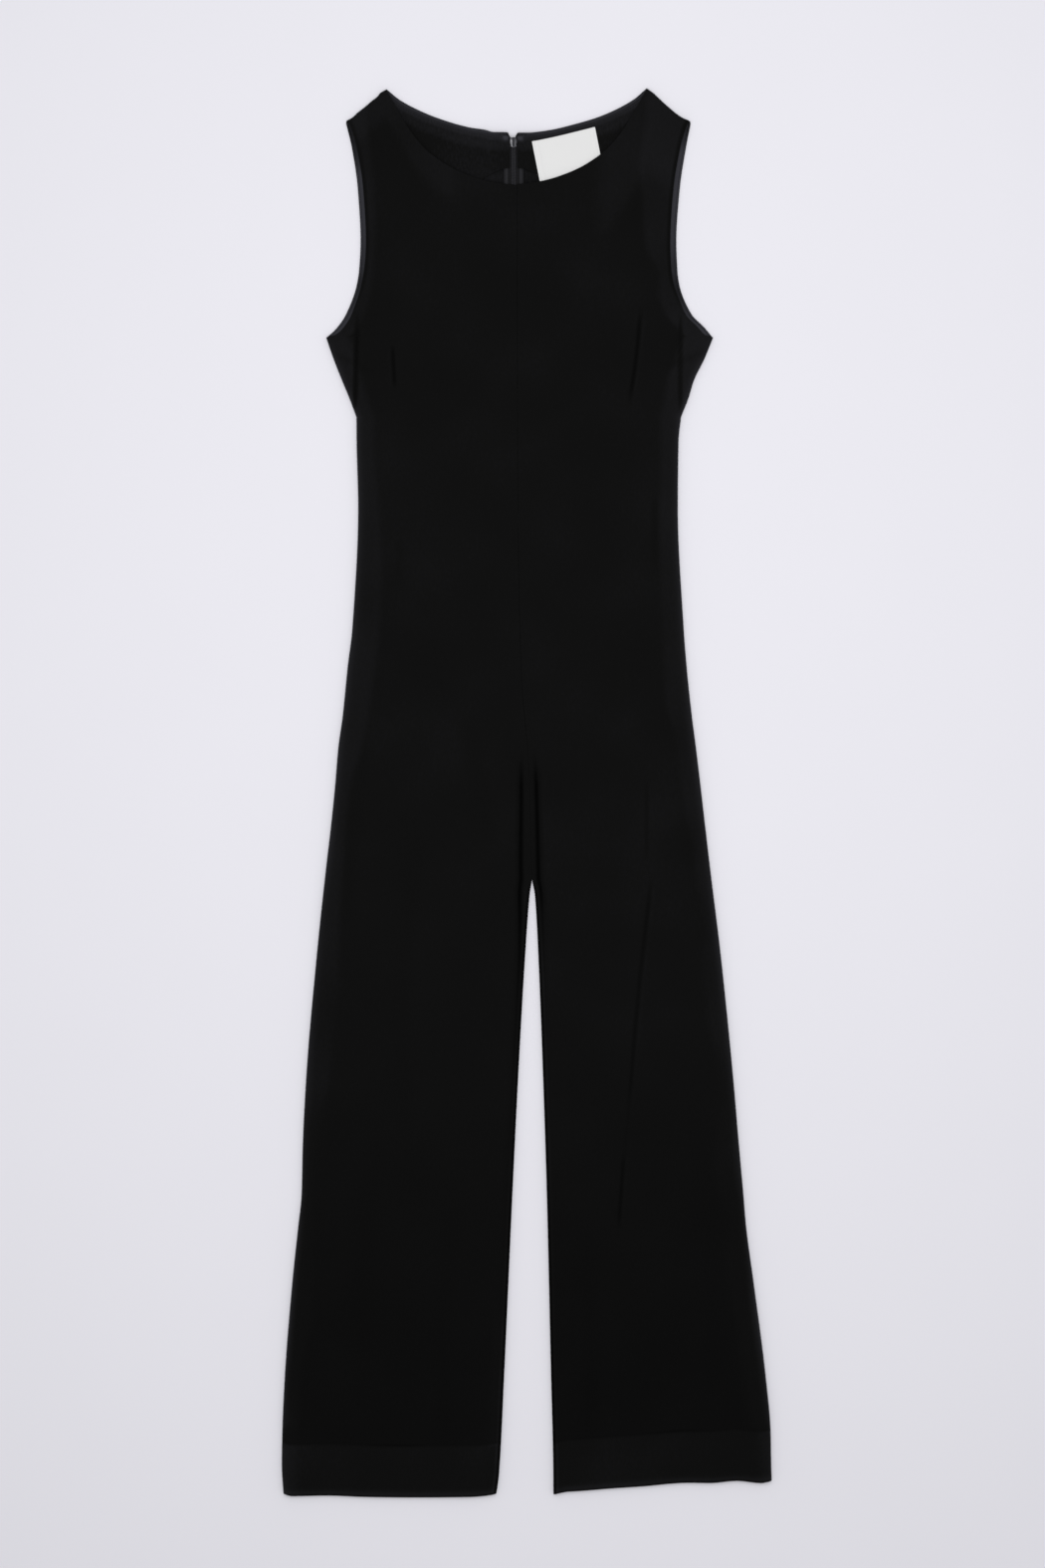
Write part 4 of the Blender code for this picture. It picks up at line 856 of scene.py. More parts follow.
def cloth(name, face, wall, bulge, light, materials, upward, inner_light=0.0):
    """A closed shell of cloth behind a grid of points: its far wall lies one thickness behind the
    face, and a rounded edge joins them. bulge is how far that edge stands out on the first row,
    the last column, the last row and the first column."""
    count, columns = face.shape[:2]
    across, along = np.gradient(face, axis=1), np.gradient(face, axis=0)
    normal = np.cross(across, along)
    normal /= np.linalg.norm(normal, axis=-1, keepdims=True)
    turned = (normal[..., 2].sum() > 0) != upward
    normal = -normal if turned else normal
    wall = np.broadcast_to(wall, face.shape[:2])
    far = face - normal * wall[..., None]

    r = np.concatenate((
        np.zeros(columns - 1, int), np.arange(count - 1),
        np.full(columns - 1, count - 1), np.arange(count - 1, 0, -1),
    ))
    c = np.concatenate((
        np.arange(columns - 1), np.full(count - 1, columns - 1),
        np.arange(columns - 1, 0, -1), np.zeros(count - 1, int),
    ))
    out = face[r, c] - face[np.clip(r, 1, count - 2), np.clip(c, 1, columns - 2)]
    out -= normal[r, c] * (out * normal[r, c]).sum(1, keepdims=True)
    out /= np.linalg.norm(out, axis=1, keepdims=True)
    borders = ((r == 0, c), (c == columns - 1, r), (r == count - 1, c), (c == 0, r))
    stand = np.full(len(r), np.inf)
    for width, (there, spot) in zip(bulge, borders):
        if np.ndim(width) > 0:
            width = width[np.minimum(spot, len(width) - 1)]
        stand = np.where(there, np.minimum(stand, width), stand)
    stand = stand[:, None]
    middle, half = (face[r, c] + far[r, c]) / 2, (face[r, c] - far[r, c]) / 2
    rings = [
        middle + half * math.cos(angle) + out * stand * math.sin(angle)
        for angle in np.radians((40.0, 90.0, 140.0))
    ]

    grid = np.arange(count * columns).reshape(count, columns)
    quads = np.stack((grid[:-1, :-1], grid[:-1, 1:], grid[1:, 1:], grid[1:, :-1]), axis=-1).reshape(-1, 4)
    size, rim = count * columns, len(r)
    loops = [grid[r, c]] + [2 * size + n * rim + np.arange(rim) for n in range(3)] + [size + grid[r, c]]
    faces = [quads, size + quads[:, ::-1]]
    for near, beyond in zip(loops, loops[1:]):
        faces.append(np.stack((np.roll(near, -1), near, beyond, np.roll(beyond, -1)), axis=-1))
    faces = np.concatenate((faces[0], *faces[2:], faces[1]))
    if turned:
        faces = faces[:, ::-1]

    mesh = bpy.data.meshes.new(name)
    points = np.concatenate((face.reshape(-1, 3), far.reshape(-1, 3), *rings)) * MM
    mesh.from_pydata(points.tolist(), [], faces.tolist())
    inside = np.broadcast_to(inner_light, light.shape)
    rims = [mix(light[r, c], inside[r, c], share) for share in (0.3, 0.7, 1.0)]
    tones = np.concatenate((light.ravel(), inside.ravel(), *rims))
    mesh.attributes.new("light", "FLOAT", "POINT").data.foreach_set("value", tones.astype(np.float32))
    for made in materials:
        mesh.materials.append(made)
    slots = np.zeros(len(faces), np.int32)
    slots[-len(quads):] = len(materials) - 1
    mesh.polygons.foreach_set("material_index", slots)
    mesh.shade_smooth()
    return new_object(name, mesh)


def dress(piece, body, slot, *nodes):
    """The piece rides on its body and stands for its nodes. Its slot is not used."""
    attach(piece, body)
    if nodes:
        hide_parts(*nodes)


def add(tree, kind, settings=None, **inputs):
    """A node in the tree, with its settings and with its inputs set or linked. An input is named
    by its name with _ for a space, or by its place, such as at_1."""
    made = tree.nodes.new(kind)
    for name, value in (settings or {}).items():
        setattr(made, name, value)
    for name, value in inputs.items():
        key = int(name[3:]) if name.startswith("at_") else name.replace("_", " ")
        if isinstance(value, bpy.types.NodeSocket):
            tree.links.new(value, made.inputs[key])
        else:
            made.inputs[key].default_value = value
    return made


def new_material(name, roughness, **constants):
    """A material with its shader, and the Object coordinates that its patterns read."""
    made = bpy.data.materials.new(name)
    made.use_nodes = True
    shader = made.node_tree.nodes["Principled BSDF"]
    shader.inputs["Roughness"].default_value = roughness
    for socket, value in constants.items():
        shader.inputs[socket.replace("_", " ")].default_value = value
    place = add(made.node_tree, "ShaderNodeTexCoord").outputs["Object"]
    return made, made.node_tree, shader, place


def crepe(name, dark, plain, light, grain):
    """Black polyester crepe, piece-dyed and steamed: its twisted yarns make a fine, uneven pebble
    that scatters light, so it looks matt. The mesh's light attribute paints shade towards the dark
    colour in creases and folds, and painted sheen towards the light colour on turned edges. The
    real pebble is about 0.6 mm, too fine to show, so it is drawn coarser."""
    made, tree, shader, place = new_material(
        name, 0.8, Specular_IOR_Level=0.03, Sheen_Weight=0.025, Sheen_Roughness=0.45,
        Sheen_Tint=linear("#bcbcc0"),
    )
    long_way = add(tree, "ShaderNodeMapping", Vector=place, Scale=(1.0, 0.5, 1.0)).outputs[0]
    pebble = add(
        tree, "ShaderNodeTexNoise", Vector=long_way, Scale=1 / grain, Detail=2.0, Roughness=0.6
    ).outputs["Fac"]
    cloud = add(tree, "ShaderNodeTexNoise", Vector=place, Scale=11.0, Detail=1.0).outputs["Fac"]
    # The light attribute carries painted light and shade: below 0 painted shade, above 0 painted sheen
    tone = add(tree, "ShaderNodeAttribute", {"attribute_name": "light"}).outputs["Fac"]
    at = add(
        tree, "ShaderNodeMapRange", Value=tone, From_Min=-1.0, From_Max=1.0, To_Min=0.0, To_Max=1.0
    ).outputs[0]
    for noise in (pebble, cloud):
        off = add(tree, "ShaderNodeMath", {"operation": "SUBTRACT"}, at_0=noise, at_1=0.5).outputs[0]
        at = add(
            tree, "ShaderNodeMath", {"operation": "MULTIPLY_ADD"}, at_0=off, at_1=0.14, at_2=at
        ).outputs[0]
    ramp = add(tree, "ShaderNodeValToRGB", Fac=at)
    ramp.color_ramp.elements[0].color = dark
    ramp.color_ramp.elements[1].color = light
    ramp.color_ramp.elements.new(0.5).color = plain
    tree.links.new(ramp.outputs["Color"], shader.inputs["Base Color"])
    rough = add(
        tree, "ShaderNodeMapRange", Value=pebble, From_Min=0.3, From_Max=0.7, To_Min=0.72, To_Max=0.88
    )
    tree.links.new(rough.outputs[0], shader.inputs["Roughness"])
    bump = add(tree, "ShaderNodeBump", Strength=0.5, Distance=0.0005, Height=pebble)
    tree.links.new(bump.outputs[0], shader.inputs["Normal"])
    return made


def stage_paper(colour):
    """A sheet of matt background paper: even and soft, with hardly a tint from fibre to fibre."""
    made, tree, shader, place = new_material("matt_background_paper", 0.95, Specular_IOR_Level=0.1)
    fibre = add(tree, "ShaderNodeTexNoise", Vector=place, Scale=7.0, Detail=3.0).outputs["Fac"]
    darker = [*[0.985 * part for part in colour[:3]], 1.0]
    shade = add(tree, "ShaderNodeMix", {"data_type": "RGBA"}, at_0=fibre, at_6=darker, at_7=colour)
    tree.links.new(shade.outputs[2], shader.inputs["Base Color"])
    return made


def woven(name, colour, pale, pitch, roughness, **constants):
    """A close-woven band: straight threads cross at the pitch, so it looks evenly ribbed."""
    made, tree, shader, place = new_material(name, roughness, **constants)
    warp, weft = [
        add(
            tree, "ShaderNodeTexWave", {"wave_type": "BANDS", "bands_direction": way}, Vector=place,
            Scale=0.314 / pitch, Distortion=0.4,
        ).outputs["Fac"]
        for way in ("X", "Y")
    ]
    threads = add(tree, "ShaderNodeMath", {"operation": "MULTIPLY"}, at_0=warp, at_1=weft).outputs[0]
    # The light attribute shifts the colour towards pale for painted highlight, and towards the base colour
    # for painted shade
    tone = add(tree, "ShaderNodeAttribute", {"attribute_name": "light"}).outputs["Fac"]
    at = add(
        tree, "ShaderNodeMath", {"operation": "MULTIPLY_ADD"}, at_0=threads, at_1=0.3, at_2=tone
    ).outputs[0]
    shade = add(tree, "ShaderNodeMix", {"data_type": "RGBA"}, at_0=at, at_6=colour, at_7=pale)
    tree.links.new(shade.outputs[2], shader.inputs["Base Color"])
    bump = add(tree, "ShaderNodeBump", Strength=0.35, Distance=0.0002, Height=threads)
    tree.links.new(bump.outputs[0], shader.inputs["Normal"])
    return made


def moulded(name, colour, pale, scale, roughness, spread, bump_share, **constants):
    """A hard finish with a fine, uneven surface: the noise shifts its colour and its gloss, and it is
    pale where the light attribute paints a highlight."""
    made, tree, shader, place = new_material(name, roughness, **constants)
    noise = add(tree, "ShaderNodeTexNoise", Vector=place, Scale=scale, Detail=3.0).outputs["Fac"]
    painted_highlight = add(tree, "ShaderNodeAttribute", {"attribute_name": "light"}).outputs["Fac"]
    at = add(
        tree, "ShaderNodeMath", {"operation": "MULTIPLY_ADD"}, at_0=noise, at_1=0.3, at_2=painted_highlight
    ).outputs[0]
    shade = add(tree, "ShaderNodeMix", {"data_type": "RGBA"}, at_0=at, at_6=colour, at_7=pale)
    tree.links.new(shade.outputs[2], shader.inputs["Base Color"])
    gloss = add(
        tree, "ShaderNodeMapRange", Value=noise, From_Min=0.3, From_Max=0.7,
        To_Min=roughness - spread, To_Max=roughness + spread,
    )
    tree.links.new(gloss.outputs[0], shader.inputs["Roughness"])
    bump = add(tree, "ShaderNodeBump", Strength=bump_share, Distance=0.0001, Height=noise)
    tree.links.new(bump.outputs[0], shader.inputs["Normal"])
    return made


def trace(face, values, target, above=0.12):
    """The line on a grid where the values that fall along its columns pass the target."""
    line = []
    for column in range(face.shape[1]):
        order = np.argsort(values[:, column])
        at = values[order, column]
        if at[0] <= target <= at[-1]:
            point = [np.interp(target, at, face[order, column, axis]) for axis in range(3)]
            line.append((point[0], point[1], point[2] + above))
    return line


def new_tree(name, sizes):
    """A Geometry Nodes tree that takes lines, these sizes and a material, and its input node."""
    tree = bpy.data.node_groups.new(name, "GeometryNodeTree")
    tree.interface.new_socket("Geometry", in_out="INPUT", socket_type="NodeSocketGeometry")
    for size in sizes:
        socket = tree.interface.new_socket(size, in_out="INPUT", socket_type="NodeSocketFloat")
        socket.subtype = "DISTANCE"
    tree.interface.new_socket("Material", in_out="INPUT", socket_type="NodeSocketMaterial")
    tree.interface.new_socket("Geometry", in_out="OUTPUT", socket_type="NodeSocketGeometry")
    return tree, tree.nodes.new("NodeGroupInput").outputs


def end_tree(tree, given, geometry):
    """Ends a tree: one real mesh with smooth faces and the given material."""
    real = add(tree, "GeometryNodeRealizeInstances", Geometry=geometry)
    smooth = add(tree, "GeometryNodeSetShadeSmooth", Geometry=real.outputs[0])
    done = add(
        tree, "GeometryNodeSetMaterial", Geometry=smooth.outputs[0], Material=given["Material"]
    )
    add(tree, "NodeGroupOutput", Geometry=done.outputs[0])
    return tree


def along_line(tree, given):
    """Points along the given lines at the pitch, and a turn of +Z to the line at each of them."""
    line = add(tree, "GeometryNodeMeshToCurve", Mesh=given["Geometry"]).outputs[0]
    points = add(
        tree, "GeometryNodeResampleCurve", {"mode": "LENGTH"}, Curve=line, Length=given["Pitch"]
    ).outputs[0]
    tangent = add(tree, "GeometryNodeInputTangent").outputs[0]
    turn = add(tree, "FunctionNodeAlignRotationToVector", {"axis": "Z"}, Vector=tangent).outputs[0]
    return line, points, turn


def stitch_tree():
    """Stitches: a thread's short bulge at each point of the lines, with both ends drawn in."""
    tree, given = new_tree("stitches", ("Pitch", "Length", "Thread"))
    _, points, turn = along_line(tree, given)
    bead = add(tree, "GeometryNodeMeshUVSphere", Segments=6, Rings=4, Radius=0.5).outputs[0]
    size = add(
        tree, "ShaderNodeCombineXYZ", X=given["Thread"], Y=given["Thread"], Z=given["Length"]
    ).outputs[0]
    rows = add(
        tree, "GeometryNodeInstanceOnPoints", Points=points, Instance=bead, Rotation=turn, Scale=size
    )
    return end_tree(tree, given, rows.outputs[0])


def coil_tree():
    """A zip's coil: a monofilament ring at each point of the lines, round a core cord."""
    tree, given = new_tree("zip_coil", ("Pitch", "Width", "Height", "Thread", "Core"))
    line, points, turn = along_line(tree, given)
    ring = add(tree, "GeometryNodeCurvePrimitiveCircle", Resolution=10, Radius=0.5).outputs[0]
    size = add(tree, "ShaderNodeCombineXYZ", X=given["Width"], Y=given["Height"], Z=1.0).outputs[0]
    ring = add(tree, "GeometryNodeTransform", Geometry=ring, Scale=size).outputs[0]
    wire = add(
        tree, "GeometryNodeCurvePrimitiveCircle", Resolution=4, Radius=given["Thread"]
    ).outputs[0]
    ring = add(tree, "GeometryNodeCurveToMesh", Curve=ring, Profile_Curve=wire).outputs[0]
    rings = add(
        tree, "GeometryNodeInstanceOnPoints", Points=points, Instance=ring, Rotation=turn
    ).outputs[0]
    round_core = add(
        tree, "GeometryNodeCurvePrimitiveCircle", Resolution=6, Radius=given["Core"]
    ).outputs[0]
    core = add(
        tree, "GeometryNodeCurveToMesh", Curve=line, Profile_Curve=round_core, Fill_Caps=True
    ).outputs[0]
    both = add(tree, "GeometryNodeJoinGeometry")
    for part in (rings, core):
        tree.links.new(part, both.inputs[0])
    return end_tree(tree, given, both.outputs[0])


def grow(name, lines, tree, finish, **sizes):
    """What a tree makes along lines of points in millimetres, as a plain mesh."""
    points, edges = [], []
    for line in lines:
        edges += [(len(points) + n, len(points) + n + 1) for n in range(len(line) - 1)]
        points += [[value * MM for value in point] for point in line]
    mesh = bpy.data.meshes.new(name)
    mesh.from_pydata(points, edges, [])
    host = new_object(name, mesh)
    step = host.modifiers.new("grow", "NODES")
    step.node_group = tree
    for item in tree.interface.items_tree:
        if item.in_out == "INPUT" and item.name in sizes:
            step[item.identifier] = sizes[item.name]
        elif item.in_out == "INPUT" and item.name == "Material":
            step[item.identifier] = finish
    bpy.context.view_layer.update()
    graph = bpy.context.evaluated_depsgraph_get()
    made = bpy.data.meshes.new_from_object(host.evaluated_get(graph), depsgraph=graph)
    host.modifiers.remove(step)
    host.data = made
    made.name = name
    bpy.data.meshes.remove(mesh)
    if len(made.polygons) == 0:
        raise RuntimeError(f"{name} came out empty")
    return host


def shape(name, finish, *builds):
    """A mesh object of several closed shapes, each added to it by a function."""
    build = bmesh.new()
    for make in builds:
        make(build)
    mesh = bpy.data.meshes.new(name)
    build.to_mesh(mesh)
    build.free()
    mesh.materials.append(finish)
    mesh.shade_smooth()
    mesh.set_sharp_from_angle(angle=math.radians(40))
    return new_object(name, mesh)


def soften(build, edges, width):
    bmesh.ops.bevel(
        build, geom=list(edges), offset=width * MM, segments=2, profile=0.5, affect="EDGES"
    )


def block(size, centre, edge):
    """A box with rounded edges, in millimetres."""
    def make(build):
        scale = Matrix.Diagonal((*[side * MM for side in size], 1.0))
        at = Matrix.Translation(Vector(centre) * MM) @ scale
        made = bmesh.ops.create_cube(build, size=1.0, matrix=at)["verts"]
        edges = {e for v in made for e in v.link_edges}
        soften(build, edges, edge)
    return make


def ring(outer, inner, x0, x1, y, z, edge=0.12, sides=20):
    """A round ring along X with softened edges, or a rod where inner is 0, in millimetres."""
    def make(build):
        profile = [
            (x0, outer - edge), (x0 + edge, outer), (x1 - edge, outer), (x1, outer - edge), (x1, inner),
            (x0, inner),
        ]
        loops = []
        for n in range(sides):
            angle = 2 * math.pi * n / sides
            loops.append([
                build.verts.new((x * MM, (y + r * math.cos(angle)) * MM, (z + r * math.sin(angle)) * MM))
                for x, r in profile
            ])
        faces = []
        for a, b in zip(loops, loops[1:] + loops[:1]):
            for i in range(len(profile)):
                j = (i + 1) % len(profile)
                faces.append(build.faces.new((a[i], a[j], b[j], b[i])))
        if inner == 0:
            core = [v for loop in loops for v in loop]
            bmesh.ops.remove_doubles(build, verts=core, dist=1e-7)
            faces = [f for f in faces if f.is_valid]
        bmesh.ops.recalc_face_normals(build, faces=faces)
    return make


def drop(x, start, z0, z1, edge=0.25, steps=12):
    """The pull's flat drop, which hangs along -Y from the pin, with a rim round it."""
    def make(build):
        outline = [(-PULL_NECK_HALF, -start), (PULL_NECK_HALF, -start)]
        for n in range(steps + 1):
            angle = math.pi * n / steps
            along = PULL_LENGTH - PULL_TIP_HALF * (1 - math.sin(angle))
            outline.append((PULL_TIP_HALF * math.cos(angle), -along))
        bottom, top = (
            [build.verts.new(((x + a) * MM, (PIN_Y + b) * MM, z * MM)) for a, b in outline]
            for z in (z0, z1)
        )
        faces = [build.faces.new(bottom), build.faces.new(top)]
        for n in range(len(outline)):
            m = (n + 1) % len(outline)
            faces.append(build.faces.new((bottom[n], bottom[m], top[m], top[n])))
        bmesh.ops.recalc_face_normals(build, faces=faces)
        edges = {e for face in faces[:2] for e in face.edges}
        soften(build, edges, edge)
    return make


class JUMPSUIT_OT_fronts(bpy.types.Operator):
    """Make the two front panels"""

    bl_idname = "jumpsuit.fronts"
    bl_label = "Front Panels"

    def execute(self, context):
        s = context.scene.jumpsuit_cloth
        finishes = [
            crepe("black_crepe", s.crease, s.black, s.painted_sheen, s.grain),
            crepe("crepe_wrong_side", s.crease, s.black, s.painted_inner_light, s.grain),
        ]
        for side in (RIGHT, LEFT):
            face, light, rows, shoulder = front_grid(side)
            wall = panel_wall(rows, s.wall, s.hem_wall) / MM
            bulge = (
                HEM_STANDS, 0.1 + 0.4 * (rows.up[:, 0] > 0), 0.1 + 0.45 * (1 - shoulder[-1]), SEAM_MEETS,
            )
            name = NAMES[side]
            made = cloth(f"front_panel_{name}", face, wall, bulge, light, finishes, True)
            dress(made, "garment", "crepe", f"front_{name}")
        return {"FINISHED"}


class JUMPSUIT_OT_backs(bpy.types.Operator):
    """Make the two back panels"""

    bl_idname = "jumpsuit.backs"
    bl_label = "Back Panels"

    def execute(self, context):
        s = context.scene.jumpsuit_cloth
        finishes = [bpy.data.materials["black_crepe"], bpy.data.materials["crepe_wrong_side"]]
        for side in (RIGHT, LEFT):
            face, light, wall, rows, shoulder, inside = back_grid(side, s.wall / MM, s.hem_wall / MM)
            bulge = (
                HEM_STANDS, 0.1 + 0.9 * ease(rows.up[:, 0], 0.0, 0.12), 0.1 + 0.9 * (1 - shoulder[-1]),
                BACK_SEAM_MEETS,
            )
            name = NAMES[side]
            made = cloth(f"back_panel_{name}", face, wall, bulge, light, finishes, False, inside)
            dress(made, "garment", "crepe", f"back_{name}")
        return {"FINISHED"}


class JUMPSUIT_OT_facings(bpy.types.Operator):
    """Make the back facing's two halves"""

    bl_idname = "jumpsuit.facings"
    bl_label = "Facings"

    def execute(self, context):
        s = context.scene.jumpsuit_cloth
        finish = crepe("black_crepe_facing", s.crease, s.facing, s.painted_inner_light, s.grain)
        for side in (RIGHT, LEFT):
            face, light, _ = facing_grid(side)
            name = NAMES[side]
            made = cloth(
                f"back_facing_{name}", face, FACING_WALL, (0.4, 0.45, 0.1, 0.45), light, [finish], True
            )
            dress(made, "garment", "facing", f"facing_{name}")
        return {"FINISHED"}


class JUMPSUIT_OT_zip_tapes(bpy.types.Operator):
    """Make the zip's two tapes"""

    bl_idname = "jumpsuit.zip_tapes"
    bl_label = "Zip Tapes"

    def execute(self, context):
        s = context.scene.jumpsuit_zip
        # Polyester zip tape, woven with a corded rib: the cords beside its edge catch the light.
        # Its threads are 0.3 mm apart, and are drawn at 0.7 mm.
        finish = woven("woven_zip_tape", s.tape, s.rib, 0.0007, 0.7, Specular_IOR_Level=0.1)
        for side in (RIGHT, LEFT):
            face, light = tape_grid(side)
            name = NAMES[side]
            made = cloth(f"woven_tape_{name}", face, TAPE_WALL, (0.3,) * 4, light, [finish], True)
            dress(made, "garment", "zip_tape", f"zip_tape_{name}")
        return {"FINISHED"}


class JUMPSUIT_OT_zip_coil(bpy.types.Operator):
    """Make the zip's two coils, closed into each other below the slider"""

    bl_idname = "jumpsuit.zip_coil"
    bl_label = "Zip Coil"

    def execute(self, context):
        s = context.scene.jumpsuit_zip
        # Nylon monofilament, dyed black and set by heat: smooth, with a thin gleam on each turn
        finish = moulded(
            "nylon_coil", s.coil, s.gleam, 900.0, 0.42, 0.06, 0.2, Specular_IOR_Level=0.25
        )
        lines = []
        for side in (RIGHT, LEFT):
            low = COIL_LOW_Y + (s.pitch / MM / 2 if side == LEFT else 0.0)
            y = spaced(low, (560.0, 12.0), (COIL_TOP_Y, 2.0))
            reach = through(ZIP_GAPS, y) + 0.36 * s.width / MM
            x = through(CENTRE_BACK, y) + side * reach
            lines.append(list(zip(x, y, COIL_MIDDLE + lift(x, y))))
        made = grow(
            "coil_of_zip", lines, coil_tree(), finish, Pitch=s.pitch, Width=s.width, Height=s.height,
            Thread=s.thread / 2, Core=0.3 * s.height,
        )
        dress(made, "garment", "zip_tape")
        return {"FINISHED"}


class JUMPSUIT_OT_slider(bpy.types.Operator):
    """Make the zip's slider"""

    bl_idname = "jumpsuit.slider"
    bl_label = "Zip Slider"

    def execute(self, context):
        s = context.scene.jumpsuit_zip
        # Die-cast zinc, barrel-plated in a dull grey: soft, blurred highlights along its crowns
        finish = moulded("plated_zinc", s.metal, s.metal_pale, 700.0, 0.36, 0.06, 0.25, Metallic=1.0)
        x, y = SLIDER_X, SLIDER_TOP_Y - SLIDER_LENGTH / 2
        share = np.linspace(-1.0, 1.0, 29)
        along = np.linspace(-1.0, 1.0, 21)[:, None]
        half = 2.5 + 1.55 * ease(along, -1.0, 0.1) - 0.8 * round_off(np.abs(along) * 1.15 - 0.15)
        crown = 0.5 * (hump(share + 0.52, 0.5) + hump(share - 0.52, 0.5)) - 0.3 * hump(share - 0.05, 0.2)
        z = SLIDER_HIGH - 0.45 + 0.9 * crown * (1 - 0.6 * along**4) - 0.55 * np.abs(share) ** 5
        z = z - 0.35 * along**6
        # Painted highlight along the slider's left crown, fainter on the right crown, and a little darker
        # elsewhere
        painted_highlight = (0.65 + 0.3 * hump(along - 0.3, 0.4) - 0.2 * along**4) * hump(share + 0.62, 0.3)
        painted_highlight += 0.14 * hump(share - 0.45, 0.3) - 0.12
        face = np.stack((x + half * share, y + SLIDER_LENGTH / 2 * along + 0 * share, z), axis=-1)
        body = cloth("slider_body", face, 1.0, (0.35,) * 4, painted_highlight, [finish], True)
        made = shape(
            "slider_of_zip", finish,
            *[
                block(FLANGE, (x + side * FLANGE_X, y - FLANGE_DOWN, FLANGE_Z), 0.2)
                for side in (RIGHT, LEFT)
            ],
            block(POST, (x, PIN_Y, POST_Z), 0.2),
            ring(EYE_RADIUS, EYE_BORE, x - EYE_HALF, x + EYE_HALF, PIN_Y, PIN_Z),
            lambda build: build.from_mesh(body.data),
        )
        bpy.data.objects.remove(body)
        dress(made, "garment", "zip_metal", "zip_slider")
        return {"FINISHED"}


class JUMPSUIT_OT_pull(bpy.types.Operator):
    """Make the zip's pull, which hangs from the slider's eye on the outside"""

    bl_idname = "jumpsuit.pull"
    bl_label = "Zip Pull"

    def execute(self, context):
        x = SLIDER_X
        pin = ring(PIN_RADIUS, 0.0, x - PIN_HALF, x + PIN_HALF, PIN_Y, PIN_Z, 0.1, 12)
        parts = [drop(x, PULL_START, 0.0, PULL_WALL), pin]
        for side in (RIGHT, LEFT):
            inner, outer = sorted((x + side * CHEEK_INNER, x + side * CHEEK_OUTER))
            parts.append(ring(CHEEK_RADIUS, 0.0, inner, outer, PIN_Y, PIN_Z))
            arm = ((inner + outer) / 2, PIN_Y - CHEEK_ARM[1] / 2, CHEEK_ARM_Z)
            parts.append(block(CHEEK_ARM, arm, 0.15))
        made = shape("pull_of_zip", bpy.data.materials["plated_zinc"], *parts)
        dress(made, "pull", "zip_metal", "zip_pull")
        return {"FINISHED"}


class JUMPSUIT_OT_label(bpy.types.Operator):
    """Make the plain label at the back of the neck"""

    bl_idname = "jumpsuit.label"
    bl_label = "Neck Label"

    def execute(self, context):
        s = context.scene.jumpsuit_label
        # White polyester satin ribbon, cut and folded at both ends: its long floats lie across,
        # so it has a soft gleam. They are 0.15 mm apart, and are drawn at 0.6 mm.
        finish = woven(
            "white_satin_ribbon", s.white, s.shade, 0.0006, 0.42, Specular_IOR_Level=0.35,
            Anisotropic=0.4,
        )
        face, light, _ = label_grid()
        made = cloth("satin_label", face, LABEL_WALL, (0.1,) * 4, light, [finish], True)
        dress(made, "garment", "label", "neck_label")
        return {"FINISHED"}


class JUMPSUIT_OT_stitches(bpy.types.Operator):
    """Make the stitches of the hems, facings, tapes and label"""

    bl_idname = "jumpsuit.stitches"
    bl_label = "Stitches"

    def execute(self, context):
        s, shell = context.scene.jumpsuit_thread, context.scene.jumpsuit_cloth
        tree = stitch_tree()
        # Spun polyester thread: matt and a little hairy, so it is paler than the crepe
        black = moulded(
            "black_thread", s.black, s.black_pale, 1500.0, 0.75, 0.1, 0.4, Specular_IOR_Level=0.06
        )
        white = moulded("white_thread", s.white, s.white, 1500.0, 0.6, 0.1, 0.4, Sheen_Weight=0.1)
        hems, facings, tapes = [], [], []
        for side in (RIGHT, LEFT):
            face, _, rows, _ = front_grid(side)
            hems.append(trace(face[:, 8:-11], rows.rise + 0 * face[:, 8:-11, 0], HEM_DEPTH))
            face, _, _, rows, *_ = back_grid(side, shell.wall / MM, shell.hem_wall / MM)
            hems.append(trace(face[:, 8:-8], rows.rise + 0 * face[:, 8:-8, 0], HEM_DEPTH, -0.05))
            face, _, inside = facing_grid(side)
            facings.append(trace(face[:, 8:-4], inside[:, 8:-4], NECK_FOLD + NECK_STITCH_IN))
            face, _ = tape_grid(side)
            across = from_zip(face[..., 0], face[..., 1])
            tapes.append(trace(face.transpose(1, 0, 2), across.T, TAPE_STITCH_IN, 0.05))
        face, _, across = label_grid()
        ends = [
            trace(face.transpose(1, 0, 2), across.T, spot, 0.08)
            for spot in (LABEL_STITCH_IN, LABEL_WIDTH - LABEL_STITCH_IN)
        ]
        for name, lines, finish, pitch, share, thread, slot in (
            ("hem_stitches", hems, black, s.hem_pitch, 0.3, s.thread, "crepe"),
            ("seam_stitches", facings + tapes, black, s.pitch, 0.8, s.thread, "facing"),
            ("label_stitches", ends, white, s.pitch, 0.75, 0.8 * s.thread, "label"),
        ):
            made = grow(name, lines, tree, finish, Pitch=pitch, Length=share * pitch, Thread=thread)
            dress(made, "garment", slot)
        return {"FINISHED"}


